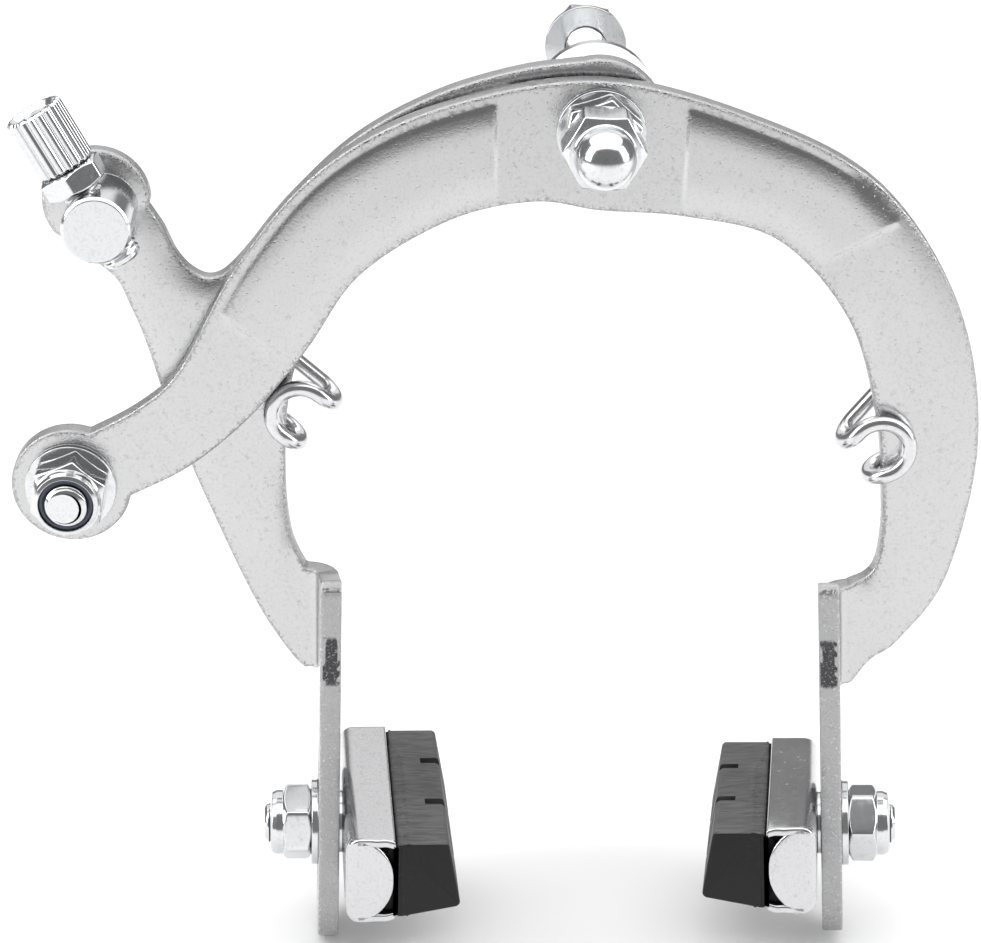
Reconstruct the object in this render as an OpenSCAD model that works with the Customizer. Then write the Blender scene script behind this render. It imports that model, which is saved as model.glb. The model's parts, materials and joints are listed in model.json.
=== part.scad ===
// Side-pull caliper brake for a bicycle: two pressed steel arms cross on a centre bolt, a wire
// spring opens them, and the cable pulls the adjuster ear and the anchor end together.
// Origin: axis of the centre bolt at the rear face of its boss. +Y is the bicycle's side, -Y the
// front, +Z up. Left and right are as seen from the front. Units are millimetres.

/* [Main sizes] */
// Mean height of the shoe studs under the centre bolt
brake_drop = 103.6; // [95:0.1:112]
// Width between the bend lines of both legs at the studs' height
leg_gap = 81.5; // [76:0.5:90]

/* [Pressed arms] */
// Thickness of the steel plate of both arms
plate_t = 3; // [2.4:0.1:3.4]
// Inner radius of the bend that turns an arm into its leg
bend_r = 1.5; // [1:0.1:2.5]
// Radius of the rear arm's eye round the centre bolt
eye_r = 9; // [8:0.1:10]
// Place of the adjuster's swivel on the rear arm, x and z, as shares of leg gap and brake drop
ear_at = [-0.837, -0.11]; // [-1:0.001:0]
// Radius of the ear that carries the swivel
ear_r = 7.5; // [7:0.1:8.5]
// Place of the cable anchor on the front arm, x and z, as shares of leg gap and brake drop
anchor_at = [-0.915, -0.5]; // [-1.1:0.001:-0.3]
// Radius of the front arm's end round the cable anchor
anchor_end_r = 8.5; // [7.5:0.1:9.5]
// Height that the pressed panels stand out of the arms
panel_h = 0.5; // [0.2:0.1:0.7]
// Width of the flat rim left round a pressed panel
panel_rim = 1.7; // [1.2:0.1:2.5]

/* [Legs] */
// How much lower the right stud stands, because the brake hangs a little turned on its bolt
stud_step = 1; // [0:0.1:3]
// How much further the left leg stands from the centre bolt than the right one
leg_shift = 3.5; // [0:0.1:5]
// Angle by which each leg stands open at rest, left and right
leg_spread = [1.7, 3.3]; // [0:0.1:4]
// Angle by which each leg falls short of a square bend, left and right
leg_lean = [3, 7]; // [0:0.5:8]
// Distance of the legs' front edge from the rear face of the boss
leg_front = 31; // [29:0.5:33]
// Distance of the shoe studs from the rear face of the boss
stud_front = 23.7; // [22.5:0.1:25]
// Length that a leg runs on below the stud to the centre of its round end
leg_tail = 10.6; // [9:0.1:13]
// Height of the slot's upper end above the stud
slot_rise = 9; // [6:0.5:11]
// Fall of the slot's lower end below the stud
slot_fall = 8; // [5:0.5:9]

/* [Centre bolt] */
// Thread diameter of the centre bolt, the anchor bolt and the shoe studs
bolt_d = 6; // [5:0.5:6.5]
// Length of the boss between the frame or fork and the first pivot washer
boss_len = 9; // [7.5:0.5:12]
// Radius of the boss's rear flange
boss_r = 8.4; // [7.8:0.1:10]
// Radius of the boss's neck, where the spring passes
boss_neck_r = 7; // [6.8:0.1:7.4]
// Length of the bolt behind the boss that the frame or fork takes up
mount_grip = 26.5; // [15:0.5:35]
// Radial play of the arms on the centre bolt
pivot_play = 0.06; // [0.03:0.01:0.1]

/* [Washers and nuts] */
// Thickness of the pivot washers
washer_t = 1; // [0.8:0.1:1.5]
// Outer diameter of the pivot, mount and swivel washers
washer_d = 12.2; // [11:0.1:14]
// Width across flats of the M6 nuts
nut_af = 10; // [9:0.5:11]
// Height of the thin jam nut under the acorn nut
jam_h = 3.2; // [2.5:0.1:4]
// Height of the acorn nut's hexagon
acorn_hex_h = 6; // [4.5:0.1:7]
// Radius of the acorn nut's dome
acorn_r = 4.1; // [3.6:0.1:4.8]
// Height of a lock nut's hexagon
nut_h = 4.2; // [3.5:0.1:5.5]
// Height of the collar that holds the nylon ring of a lock nut
collar_h = 1.8; // [1.4:0.1:2.4]
// Outer radius of that collar
collar_r = 4.75; // [4.3:0.05:4.9]
// Radial gap between a thread's crest and the nut round it
thread_gap = 0.05; // [0.02:0.01:0.08]

/* [Return spring] */
// Wire diameter of the return spring
wire_d = 2.3; // [1.8:0.1:2.4]
// Distance of the wire below the centre bolt's axis inside the boss
wire_drop = 4.9; // [4.6:0.1:5.2]
// Radius of each hook's open bow on the front of an arm
hook_r = 4.1; // [3.5:0.1:4.8]
// Gap between the wire and the arm faces that it runs along
wire_gap = 0.25; // [0.15:0.05:0.4]
// Centre of the left hook's bow, x and z, as shares of leg gap and brake drop
left_hook_at = [-0.514, -0.407]; // [-0.6:0.001:-0.3]
// Centre of the right hook's bow, x and z, as shares of leg gap and brake drop
right_hook_at = [0.493, -0.448]; // [-0.6:0.001:0.6]
// Corner where each side of the spring bends down, as shares of leg gap and brake drop
shoulder_at = [0.417, -0.121]; // [-0.2:0.001:0.6]
// Direction in which the wire leaves each arm's edge, left and right
hook_dir = [-42, -129]; // [-150:1:-20]
// Angle that each hook's bow sweeps, left and right
hook_sweep = [184, 208]; // [160:1:220]

/* [Cable adjuster] */
// Diameter of the turned swivel
swivel_d = 9.5; // [9:0.1:11]
// Length of the swivel in front of the ear
swivel_len = 10.8; // [9.6:0.1:12.5]
// Diameter of the swivel's pin through the ear
swivel_pin_d = 5; // [4:0.5:6]
// Lean of the barrel to the left of upright
barrel_lean = 28; // [10:1:40]
// Outer diameter of the barrel's fluted head
barrel_d = 8.2; // [7.6:0.1:8.6]
// Length of the barrel's fluted head
barrel_len = 8.8; // [7:0.1:12]
// Diameter of the socket in the barrel for the cable housing
housing_d = 5.6; // [5:0.1:6]
// Depth of that socket
housing_depth = 7.2; // [5:0.1:9]
// Thread diameter of the barrel's stem
stem_d = 5.6; // [5:0.1:6]
// Diameter of the hole for the brake cable in the barrel and the anchor bolt
cable_d = 2; // [1.6:0.1:2.4]
// Number of flutes round the barrel
flutes = 18; // [12:1:24]
// Width across flats of the barrel's lock nut
locknut_af = 8.2; // [8:0.1:9]
// Height of the barrel's lock nut
locknut_h = 3.1; // [2.5:0.1:3.5]

/* [Cable anchor] */
// Outer diameter of the anchor's washers
anchor_washer_d = 12.9; // [11.5:0.1:14]
// Thickness of the pinch washer behind the arm
pinch_t = 1.6; // [1.2:0.1:2]
// Height of the anchor bolt's hexagon head
anchor_head_h = 4; // [3:0.1:5]

/* [Brake shoes] */
// Length of a shoe
shoe_len = 39; // [36:0.5:44]
// Height of a shoe holder
holder_h = 13; // [12.4:0.1:14.4]
// Depth of a shoe holder, from its back to its lips
holder_deep = 7; // [6:0.1:7.5]
// Thickness of the holder's sheet
holder_t = 1.2; // [0.8:0.1:1.4]
// Thickness of the stud's collar, which keeps the holder off the leg
collar_t = 0.6; // [0.5:0.1:1.6]
// Height of the rubber block outside its holder
block_h = 11.6; // [11:0.1:12.4]
// Distance from the leg to the block's wheel face at its top edge
block_reach = 15.2; // [13:0.1:17]
// Distance by which the wheel face's lower edge stands further out
block_cant = 1.7; // [0:0.1:2.5]
// Upward pitch of each shoe's front end, left and right
shoe_pitch = [4.5, 10]; // [0:0.5:14]
// Width of the water slots across the wheel face
slot_w = 1.8; // [1:0.1:2.5]
// Depth of the water slots
slot_deep = 2.8; // [1.5:0.1:4]
// Outer diameter of the shoe washer
shoe_washer_d = 12.5; // [11:0.1:14]

/* [Hidden] */
$fn = 64;

LEFT = 0;
RIGHT = 1;
plated = "Silver";
rubber = "DimGray";
nylon = "MidnightBlue";

bolt_r = bolt_d / 2;
bore_r = bolt_r + pivot_play;
nut_bore_r = bolt_r + thread_gap;
rear_back = -(boss_len + washer_t);
rear_face = rear_back - plate_t;
front_back = rear_face - washer_t;
front_face = front_back - plate_t;
jam_back = front_face - washer_t;
acorn_back = jam_back - jam_h;
face_y = [rear_face, front_face];
back_y = [rear_back, front_back];
stud_at = [[-(leg_gap + leg_shift) / 2, (stud_step / 2) - brake_drop],
    [(leg_gap - leg_shift) / 2, -(stud_step / 2) - brake_drop]];
ear = [ear_at[0] * leg_gap, ear_at[1] * brake_drop];
ear_end = ear + [-1.1, 0.4];
anchor = [anchor_at[0] * leg_gap, anchor_at[1] * brake_drop];
bend_y = [for (i = [LEFT, RIGHT]) face_y[i] - bend_r];
leg_deep = [for (i = [LEFT, RIGHT]) leg_front + bend_y[i]];
stud_deep = [for (i = [LEFT, RIGHT]) stud_front + bend_y[i]];
wire_r = wire_d / 2;
boss_hole_y = rear_back / 2 + 0.1;
boss_exit = 13;

// Legs: heights above the stud of the bend's ends and of the front corner
leg_top = [36, 35.5];
leg_front_top = [42.4, 42.6];
leg_foot = [20, 19.6];
leg_corner_r = 2;
bend_strip = 0.8;
bend_step = 0.2;
bend_steps = 10;

// Nuts: nylon ring, its seat, the swivel's small nut, and how far each nut happens to be turned
insert_r = 3.8;
insert_seat = 0.2;
swivel_nut_h = 4;
swivel_nut_af = 8;
jam_turn = 17;
acorn_turn = -2;
mount_turn = 8;
anchor_turn = 20;
shoe_nut_turn = [13, -17];
tip_chamfer = 0.6;

// Adjuster: height of the barrel's axis on the swivel, lock nut and head along the barrel's axis
swivel_mid = 5.6;
locknut_z = swivel_d / 2 + 0.5;
barrel_z = locknut_z + locknut_h + 0.2;
stem_tip = swivel_d / 2 + 1.9;
flute_r = 0.42;
rim_chamfer = 0.4;

// Stud head inside the shoe, and the places of the water slots as parts of the shoe's length
stud_head_r = 4.4;
stud_head_t = 1.3;
slot_at = [-0.144, 0.213];
bed_gap = 0.05;

// Points of the outline shared by several sub-parts

// Corner of a plate in the strip next to its bend, from its height above the stud, as x and z
function bend_point(i, up) =
    let (way = 1 - 2 * i, turn = way * leg_spread[i], side = -way * bend_strip / 2)
    stud_at[i] + [side * cos(turn) + up * sin(turn), up * cos(turn) - side * sin(turn)];

// Smooth curve through points p, with n steps between each two
function bow(a, b, c, d, t) =
    0.5 * (2 * b + (c - a) * t + (2 * a - 5 * b + 4 * c - d) * t * t
        + (3 * b - a - 3 * c + d) * t * t * t);
function smooth(p, n = 5) = [
    for (i = [0 : len(p) - 2], k = [0 : n - 1])
        bow(p[max(i - 1, 0)], p[i], p[i + 1], p[min(i + 2, len(p) - 1)], k / n),
    p[len(p) - 1]];

// The outline p moved inwards by d; its points run clockwise
function inset(p, d) = [for (i = [0 : len(p) - 1])
    let (a = p[(i + len(p) - 1) % len(p)], b = p[(i + 1) % len(p)], t = (b - a) / norm(b - a))
    p[i] + d * [t[1], -t[0]]];

// Outlines are drawn as shares of leg gap and brake drop, which fit() turns into millimetres
function fit(p) = [for (q = p) [q[0] * leg_gap, q[1] * brake_drop]];
function reverse(p) = [for (i = [len(p) - 1 : -1 : 0]) p[i]];
function around(at, r, a) = at + r * [cos(a), sin(a)];

// Rear arm: outer edge from the eye to the ear's notch, from the ear to the leg, and inner edge
rear_top = fit([[0, 0.078], [-0.135, 0.071], [-0.27, 0.041], [-0.405, -0.015], [-0.515, -0.095],
    [-0.616, -0.189], [-0.658, -0.213], [-0.692, -0.205], [-0.719, -0.18], [-0.739, -0.144]]);
rear_side = fit([[-0.869, -0.183], [-0.823, -0.216], [-0.801, -0.257], [-0.778, -0.309],
    [-0.736, -0.43], [-0.667, -0.579], [-0.601, -0.707], [-0.547, -0.781]]);
rear_inside = fit([[-0.528, -0.621], [-0.539, -0.589], [-0.545, -0.521], [-0.537, -0.405],
    [-0.501, -0.304], [-0.393, -0.193], [-0.245, -0.122], [-0.11, -0.098], [0, -0.096]]);
rear_outline = reverse(concat(
    smooth(concat(rear_top, [around(ear_end, ear_r - 0.4, -5)])),
    smooth(concat([around(ear_end, ear_r - 0.2, -138)], rear_side,
        [bend_point(LEFT, leg_foot[LEFT] - bend_step)])),
    smooth(concat([bend_point(LEFT, leg_top[LEFT] + bend_step)], rear_inside))));

// Front arm: outer edge from the anchor over the top to the leg, and inner edge back below
front_top = fit([[-0.888, -0.427], [-0.791, -0.385], [-0.717, -0.328], [-0.613, -0.181],
    [-0.467, -0.049], [-0.27, 0.033], [0, 0.069], [0.27, 0.012], [0.477, -0.08], [0.618, -0.247],
    [0.669, -0.444], [0.631, -0.647], [0.552, -0.749], [0.503, -0.781]]);
front_inside = fit([[0.483, -0.651], [0.499, -0.633], [0.507, -0.598], [0.507, -0.541],
    [0.49, -0.415], [0.431, -0.266], [0.306, -0.153], [0.147, -0.118], [0, -0.108],
    [-0.11, -0.096], [-0.252, -0.121], [-0.405, -0.197], [-0.498, -0.303], [-0.601, -0.402],
    [-0.712, -0.475], [-0.828, -0.523], [-0.866, -0.555]]);
front_outline = concat(
    smooth(concat(front_top, [bend_point(RIGHT, leg_foot[RIGHT] - bend_step)])),
    smooth(concat([bend_point(RIGHT, leg_top[RIGHT] + bend_step)], front_inside)));

// Windows that cut the pressed panels out of an arm's inset outline
left_window = fit([[-0.172, 0.116], [-0.172, -0.135], [-0.368, -0.232], [-0.533, -0.324],
    [-0.658, -0.245], [-0.736, 0]]);
right_window = fit([[0.147, 0.116], [0.135, -0.135], [0.331, -0.203], [0.54, -0.116],
    [0.491, 0.039]]);
rear_window = fit([[-0.147, 0.116], [-0.147, -0.135], [-0.368, -0.212], [-0.479, -0.328],
    [-0.613, -0.261], [-0.564, 0]]);

// Flat sheet across the bolt axis, front face at y, drawn in x and z
module sheet(y, t) {
    translate([0, y + t, 0]) rotate([90, 0, 0]) linear_extrude(t) children();
}

// What is turned or drilled along the bolt's direction, from y towards the front
module along_front(y, at = [0, 0]) {
    translate([at[0], y, at[1]]) rotate([90, 0, 0]) children();
}

// Frame of a leg: origin on its bend axis at the stud's height, +X to the wheel, -Y to its front
module at_leg(i) {
    translate([stud_at[i][0], bend_y[i], stud_at[i][1]])
        rotate([0, (1 - 2 * i) * leg_spread[i], 0]) mirror([i, 0, 0]) children();
}

// Frame of a shoe's stud: origin on the leg's inner face, +X to the wheel
module at_stud(i) {
    at_leg(i) rotate([0, 0, leg_lean[i]]) translate([bend_r + plate_t, -stud_deep[i], 0])
        children();
}

// Frame of a shoe, which is pitched about its stud
module at_shoe(i) {
    at_stud(i) rotate([-shoe_pitch[i], 0, 0]) children();
}

// Frame of the barrel: origin where its axis crosses the swivel, +Z to the fluted head
module at_barrel() {
    translate([ear[0], rear_face - swivel_mid, ear[1]])
        rotate([0, -barrel_lean, 0]) children();
}

// Plain ring, such as a flat washer, with lightly broken edges
module ring(r, hole, t) {
    b = min(0.15, t / 4);
    rotate_extrude() polygon([[hole, 0], [r - b, 0], [r, b], [r, t - b], [r - b, t], [hole, t]]);
}

// Hexagon bar with the chamfer of a nut at both ends
module hex_bar(af, h) {
    corner = af / 2 / cos(30);
    rise = (corner - 0.475 * af) * tan(30);
    intersection() {
        cylinder(h = h, r = corner, $fn = 6);
        rotate_extrude() polygon([[0, 0], [0.475 * af, 0], [corner, rise], [corner, h - rise],
            [0.475 * af, h], [0, h]]);
    }
}

// Lock nut with a rolled collar, which leaves a seat for its nylon ring
module lock_nut() {
    lip = collar_r - 0.8;
    difference() {
        union() {
            hex_bar(nut_af, nut_h);
            translate([0, 0, nut_h]) rotate_extrude() polygon([[0, -0.4], [collar_r, -0.4],
                [collar_r, collar_h - 0.9], [collar_r - 0.25, collar_h - 0.3],
                [lip, collar_h], [0, collar_h]]);
        }
        translate([0, 0, -1]) cylinder(h = nut_h + collar_h + 2, r = nut_bore_r);
        translate([0, 0, nut_h - insert_seat])
            cylinder(h = collar_h + 1, r = insert_r + thread_gap);
    }
}

// Nylon ring of a lock nut, in the nut's own frame
module nut_insert() {
    color(nylon) translate([0, 0, nut_h - insert_seat])
        ring(insert_r, nut_bore_r, collar_h + insert_seat / 2 - 0.2);
}

// Cylinder with a chamfered end, for bolts and studs
module bolt_rod(r, len) {
    rotate_extrude() polygon([[0, 0], [r, 0], [r, len - tip_chamfer], [r - tip_chamfer, len],
        [0, len]]);
}

// Section through plate, bend and leg, seen from above: an L with a round corner
module bend_section(i) {
    r = bend_r + plate_t;
    lean = leg_lean[i];
    front = leg_deep[i] + r;
    polygon(concat([[-bend_strip, bend_r], [-bend_strip, r]],
        [for (k = [bend_steps : -1 : 0]) turned(r, lean + (90 - lean) * k / bend_steps)],
        [for (x = [r, bend_r]) turned(x, lean) + front * [sin(lean), -cos(lean)]],
        [for (k = [0 : bend_steps]) turned(bend_r, lean + (90 - lean) * k / bend_steps)]));
}
function turned(r, a) = r * [cos(a), sin(a)];

// Side view of bend and leg, drawn as depth from the bend axis and height over the stud
module leg_side(i) {
    r = leg_deep[i] / 2;
    plate = -bend_r - plate_t - 1;
    polygon([[plate, leg_top[i]], [0, leg_top[i]], [leg_deep[i] - leg_corner_r, leg_front_top[i]],
        [leg_deep[i], leg_front_top[i] - leg_corner_r], [leg_deep[i], -leg_tail],
        [0, -leg_tail], [0, leg_foot[i] - 3], [-1, leg_foot[i]], [plate, leg_foot[i]]]);
    translate([leg_deep[i] - leg_corner_r, leg_front_top[i] - leg_corner_r]) circle(leg_corner_r);
    translate([r, -leg_tail]) circle(r);
}

// Bend and leg of an arm, cut to its side view, with the slot for the shoe's stud
module leg(i) {
    deep = stud_deep[i];
    low = -leg_tail - leg_deep[i];
    difference() {
        at_leg(i) intersection() {
            translate([0, 0, low]) linear_extrude(leg_front_top[i] - low + 1) bend_section(i);
            translate([20, 0, 0]) rotate([90, 0, -90]) linear_extrude(30) leg_side(i);
        }
        at_leg(i) rotate([0, 0, leg_lean[i]]) translate([20, 0, 0]) rotate([90, 0, -90])
            linear_extrude(30) {
                translate([deep, slot_rise]) circle(bore_r);
                translate([deep, -slot_fall]) circle(bore_r);
                translate([deep - bore_r, -slot_fall])
                    square([2 * bore_r, slot_rise + slot_fall]);
            }
    }
}

// Pressed panel: a raised field on an arm's face, and the shallower recess behind it
module panel_field(outline, window, rim) {
    intersection() {
        polygon(inset(outline, rim));
        polygon(window);
    }
}
module pressed(i, outline, windows) {
    difference() {
        union() {
            children();
            for (w = windows) sheet(face_y[i] - panel_h, panel_h + 0.5)
                panel_field(outline, w, panel_rim);
        }
        for (w = windows) sheet(back_y[i] - panel_h, panel_h + 1)
            panel_field(outline, w, panel_rim + 1.2);
    }
}

// Smooth path through corners p, each rounded to radius r with n steps, as wire is bent
function corner_arc(a, p, b, r, n) =
    let (d1 = (p - a) / norm(p - a), d2 = (b - p) / norm(b - p),
        turn = acos(d1 * d2), side = (d2 - d1) / norm(d2 - d1),
        middle = p + side * r / cos(turn / 2), start = p - d1 * r * tan(turn / 2))
    [for (k = [0 : n]) let (f = turn * k / n)
        middle + (start - middle) * cos(f) + d1 * r * sin(f)];
function bent(p, r, n) = [
    p[0],
    for (i = [1 : len(p) - 2]) each corner_arc(p[i - 1], p[i], p[i + 1], r, n),
    p[len(p) - 1]];

hook_at = fit([left_hook_at, right_hook_at]);

// Half of the return spring, from the middle of the boss to the end behind an arm
function spring_half(i) =
    let (s = 2 * i - 1, back = back_y[i] + wire_r + wire_gap, mid_y = boss_hole_y,
        front = face_y[i] - wire_r - wire_gap, u = (back - front) / 2,
        middle = hook_at[i], shoulder = fit([shoulder_at])[0],
        h = [cos(hook_dir[i]), sin(hook_dir[i])], first = hook_dir[i] - 90 * s,
        at = function(turn) around(middle, hook_r, first + turn),
        from = at(0), to = at(-s * hook_sweep[i]), last = first - s * hook_sweep[i],
        h2 = -s * [-sin(last), cos(last)],
        in = function(q, y) [q[0], y, q[1]])
    concat(
        bent([[s, mid_y, -wire_drop], [s * boss_exit, mid_y, -wire_drop],
            [s * shoulder[0], back, shoulder[1]], in(from - 9.5 * h, back), in(from, back)], 5, 6),
        [for (f = [20 : 20 : 160]) in(from + u * sin(f) * h, back - u * (1 - cos(f)))],
        [for (k = [0 : 10]) in(at(-s * hook_sweep[i] * k / 10), front)],
        [for (f = [20 : 20 : 180]) in(to + u * sin(f) * h2, front + u * (1 - cos(f)))],
        [in(to - 6 * h2, back)]);
spring_path = concat(reverse(spring_half(LEFT)), spring_half(RIGHT));

// Round wire of radius r swept along path p as one closed solid with m sides
module wire(p, r, m = 14) {
    n = len(p);
    dir = [for (i = [0 : n - 1])
        let (d = p[min(i + 1, n - 1)] - p[max(i - 1, 0)]) d / norm(d)];
    across = [for (i = 0, a = [0, 0, 1]; i < n; i = i + 1,
        b = i < n ? a - (a * dir[i]) * dir[i] : a, a = b / norm(b))
            let (c = a - (a * dir[i]) * dir[i]) c / norm(c)];
    points = [for (i = [0 : n - 1], k = [0 : m - 1])
        p[i] + r * (cos(360 * k / m) * across[i] + sin(360 * k / m) * cross(dir[i], across[i]))];
    sides = [for (i = [0 : n - 2], k = [0 : m - 1])
        [i * m + k, i * m + (k + 1) % m, (i + 1) * m + (k + 1) % m, (i + 1) * m + k]];
    polyhedron(points, concat(sides, [[for (k = [m - 1 : -1 : 0]) k]],
        [[for (k = [0 : m - 1]) (n - 1) * m + k]]), convexity = 8);
}

// Centre bolt: threaded shank with a turned boss that has a cross hole for the spring
module centre_bolt() {
    reach = -acorn_back + acorn_hex_h + 2;
    color(plated) difference() {
        union() {
            along_front(0) rotate_extrude() polygon([[0, 0], [boss_r - 0.5, 0], [boss_r, 0.5],
                [boss_r, 2.2], [boss_r - 0.5, 2.7], [boss_neck_r, 3.6],
                [boss_neck_r, boss_len - 2.6], [boss_neck_r + 0.5, boss_len - 2],
                [boss_neck_r + 0.5, boss_len - 0.4], [boss_neck_r + 0.1, boss_len],
                [0, boss_len]]);
            along_front(-1) bolt_rod(bolt_r, reach - 1);
            translate([0, -1, 0]) rotate([-90, 0, 0])
                bolt_rod(bolt_r, mount_grip + washer_t + nut_h + collar_h + 2.4);
        }
        translate([-boss_r, boss_hole_y, -wire_drop]) rotate([0, 90, 0])
            cylinder(h = 2 * boss_r, r = wire_r + 0.1);
    }
}

module rear_pivot_washer() {
    color(plated) along_front(-boss_len) ring(washer_d / 2, bore_r, washer_t);
}

module middle_pivot_washer() {
    color(plated) along_front(rear_face) ring(washer_d / 2, bore_r, washer_t);
}

module front_pivot_washer() {
    color(plated) along_front(front_face) ring(washer_d / 2, bore_r, washer_t);
}

module pivot_jam_nut() {
    color(plated) along_front(jam_back) difference() {
        rotate([0, 0, jam_turn]) hex_bar(nut_af, jam_h);
        translate([0, 0, -1]) cylinder(h = jam_h + 2, r = nut_bore_r);
    }
}

// Acorn nut: chamfered hexagon, a short neck and a half-round dome over a blind thread
module pivot_acorn_nut() {
    dome_z = acorn_hex_h + 1.8;
    color(plated) along_front(acorn_back) difference() {
        union() {
            rotate([0, 0, acorn_turn]) hex_bar(nut_af, acorn_hex_h);
            cylinder(h = dome_z, r = acorn_r);
            translate([0, 0, dome_z]) sphere(acorn_r);
        }
        translate([0, 0, -1]) cylinder(h = acorn_hex_h + 3.4, r = nut_bore_r);
    }
}

module mount_washer() {
    color(plated) translate([0, mount_grip + washer_t, 0]) along_front(0)
        ring(washer_d / 2, bore_r, washer_t);
}

// Frame of the mount nut, which faces away from the brake
module at_mount_nut() {
    translate([0, mount_grip + washer_t, 0]) rotate([-90, 0, 0])
        rotate([0, 0, mount_turn]) children();
}

module mount_nut() {
    color(plated) at_mount_nut() lock_nut();
}

module mount_nut_insert() {
    at_mount_nut() nut_insert();
}

module return_spring() {
    color(plated) wire(spring_path, wire_r);
}

// Rear arm: plate with the eye, the adjuster's ear and the left leg
module rear_arm() {
    color(plated) difference() {
        union() {
            pressed(LEFT, rear_outline, [rear_window]) sheet(rear_face, plate_t) {
                polygon(rear_outline);
                circle(eye_r);
                translate(ear_end) circle(ear_r);
            }
            leg(LEFT);
        }
        along_front(0) cylinder(h = 40, r = bore_r);
        along_front(0, ear) cylinder(h = 40, r = swivel_pin_d / 2 + pivot_play);
    }
}

// Front arm: plate with the cable anchor's end and the right leg
module front_arm() {
    color(plated) difference() {
        union() {
            pressed(RIGHT, front_outline, [left_window, right_window])
                sheet(front_face, plate_t) {
                    polygon(front_outline);
                    translate(anchor) circle(anchor_end_r);
                }
            leg(RIGHT);
        }
        along_front(0) cylinder(h = 40, r = bore_r);
        along_front(0, anchor) cylinder(h = 40, r = bore_r);
    }
}

// Swivel: turned body with a chamfered face, a pin through the ear and the barrel's cross hole
module adjuster_swivel() {
    r = swivel_d / 2;
    pin_r = swivel_pin_d / 2;
    tail = plate_t + washer_t + swivel_nut_h + 1;
    color(plated) difference() {
        union() {
            along_front(rear_face, ear) rotate_extrude() polygon([[0, 0], [r, 0],
                [r, swivel_len - rim_chamfer], [r - rim_chamfer, swivel_len], [0, swivel_len]]);
            translate([ear[0], rear_face - 1, ear[1]]) rotate([-90, 0, 0])
                bolt_rod(pin_r, tail + 1);
        }
        at_barrel() translate([0, 0, -r - 1])
            cylinder(h = swivel_d + 2, r = stem_d / 2 + thread_gap);
    }
}
module swivel_washer() {
    color(plated) along_front(rear_back + washer_t, ear)
        ring(swivel_d / 2 + 0.4, swivel_pin_d / 2 + thread_gap, washer_t);
}

module swivel_nut() {
    color(plated) along_front(rear_back + washer_t + swivel_nut_h, ear) difference() {
        hex_bar(swivel_nut_af, swivel_nut_h);
        translate([0, 0, -1])
            cylinder(h = swivel_nut_h + 2, r = swivel_pin_d / 2 + thread_gap);
    }
}

// Adjusting barrel: fluted head with the housing socket, and the stem through the swivel
module adjuster_barrel() {
    r = barrel_d / 2;
    color(plated) at_barrel() difference() {
        union() {
            translate([0, 0, barrel_z]) rotate_extrude() polygon([[0, 0], [r - 0.3, 0],
                [r, 0.3], [r, barrel_len - 0.3], [r - 0.3, barrel_len], [0, barrel_len]]);
            translate([0, 0, barrel_z + 1]) rotate([180, 0, 0])
                bolt_rod(stem_d / 2, barrel_z + 1 + stem_tip);
        }
        for (k = [0 : flutes - 1]) rotate([0, 0, 360 * k / flutes])
            translate([r + 0.3 * flute_r, 0, barrel_z - 1])
                cylinder(h = barrel_len + 2, r = flute_r);
        translate([0, 0, barrel_z + barrel_len - housing_depth])
            cylinder(h = housing_depth + 1, r = housing_d / 2);
        translate([0, 0, barrel_z + barrel_len - 0.5])
            cylinder(h = 0.6, r1 = housing_d / 2, r2 = housing_d / 2 + 0.6);
        translate([0, 0, -stem_tip - 1])
            cylinder(h = barrel_z + stem_tip + 4, r = cable_d / 2);
    }
}

module adjuster_locknut() {
    color(plated) at_barrel() translate([0, 0, locknut_z]) difference() {
        rotate([0, 0, 30]) hex_bar(locknut_af, locknut_h);
        translate([0, 0, -1]) cylinder(h = locknut_h + 2, r = stem_d / 2 + thread_gap);
    }
}

// Anchor bolt: hexagon head behind the arm, with a cross hole for the cable in its shank
module anchor_bolt() {
    head_y = front_back + pinch_t;
    color(plated) difference() {
        union() {
            along_front(head_y + anchor_head_h, anchor) hex_bar(nut_af, anchor_head_h);
            along_front(head_y + 1, anchor) bolt_rod(bolt_r,
                1 + pinch_t + plate_t + washer_t + nut_h + collar_h + 0.9);
        }
        cable_hole();
    }
}

// Hole and groove for the cable, which crosses the anchor bolt close behind the arm
module cable_hole() {
    translate([anchor[0], front_back + 0.1 * cable_d, anchor[1] - anchor_washer_d])
        cylinder(h = 2 * anchor_washer_d, r = cable_d / 2);
}

// Pinch washer behind the arm, with the groove that the cable lies in
module pinch_washer() {
    color(plated) difference() {
        along_front(front_back + pinch_t, anchor)
            ring(anchor_washer_d / 2, nut_bore_r, pinch_t);
        cable_hole();
    }
}

module anchor_washer() {
    color(plated) along_front(front_face, anchor)
        ring(anchor_washer_d / 2, nut_bore_r, washer_t);
}

module at_anchor_nut() {
    along_front(front_face - washer_t, anchor) rotate([0, 0, anchor_turn]) children();
}

module anchor_nut() {
    color(plated) at_anchor_nut() lock_nut();
}

module anchor_nut_insert() {
    at_anchor_nut() nut_insert();
}

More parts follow.
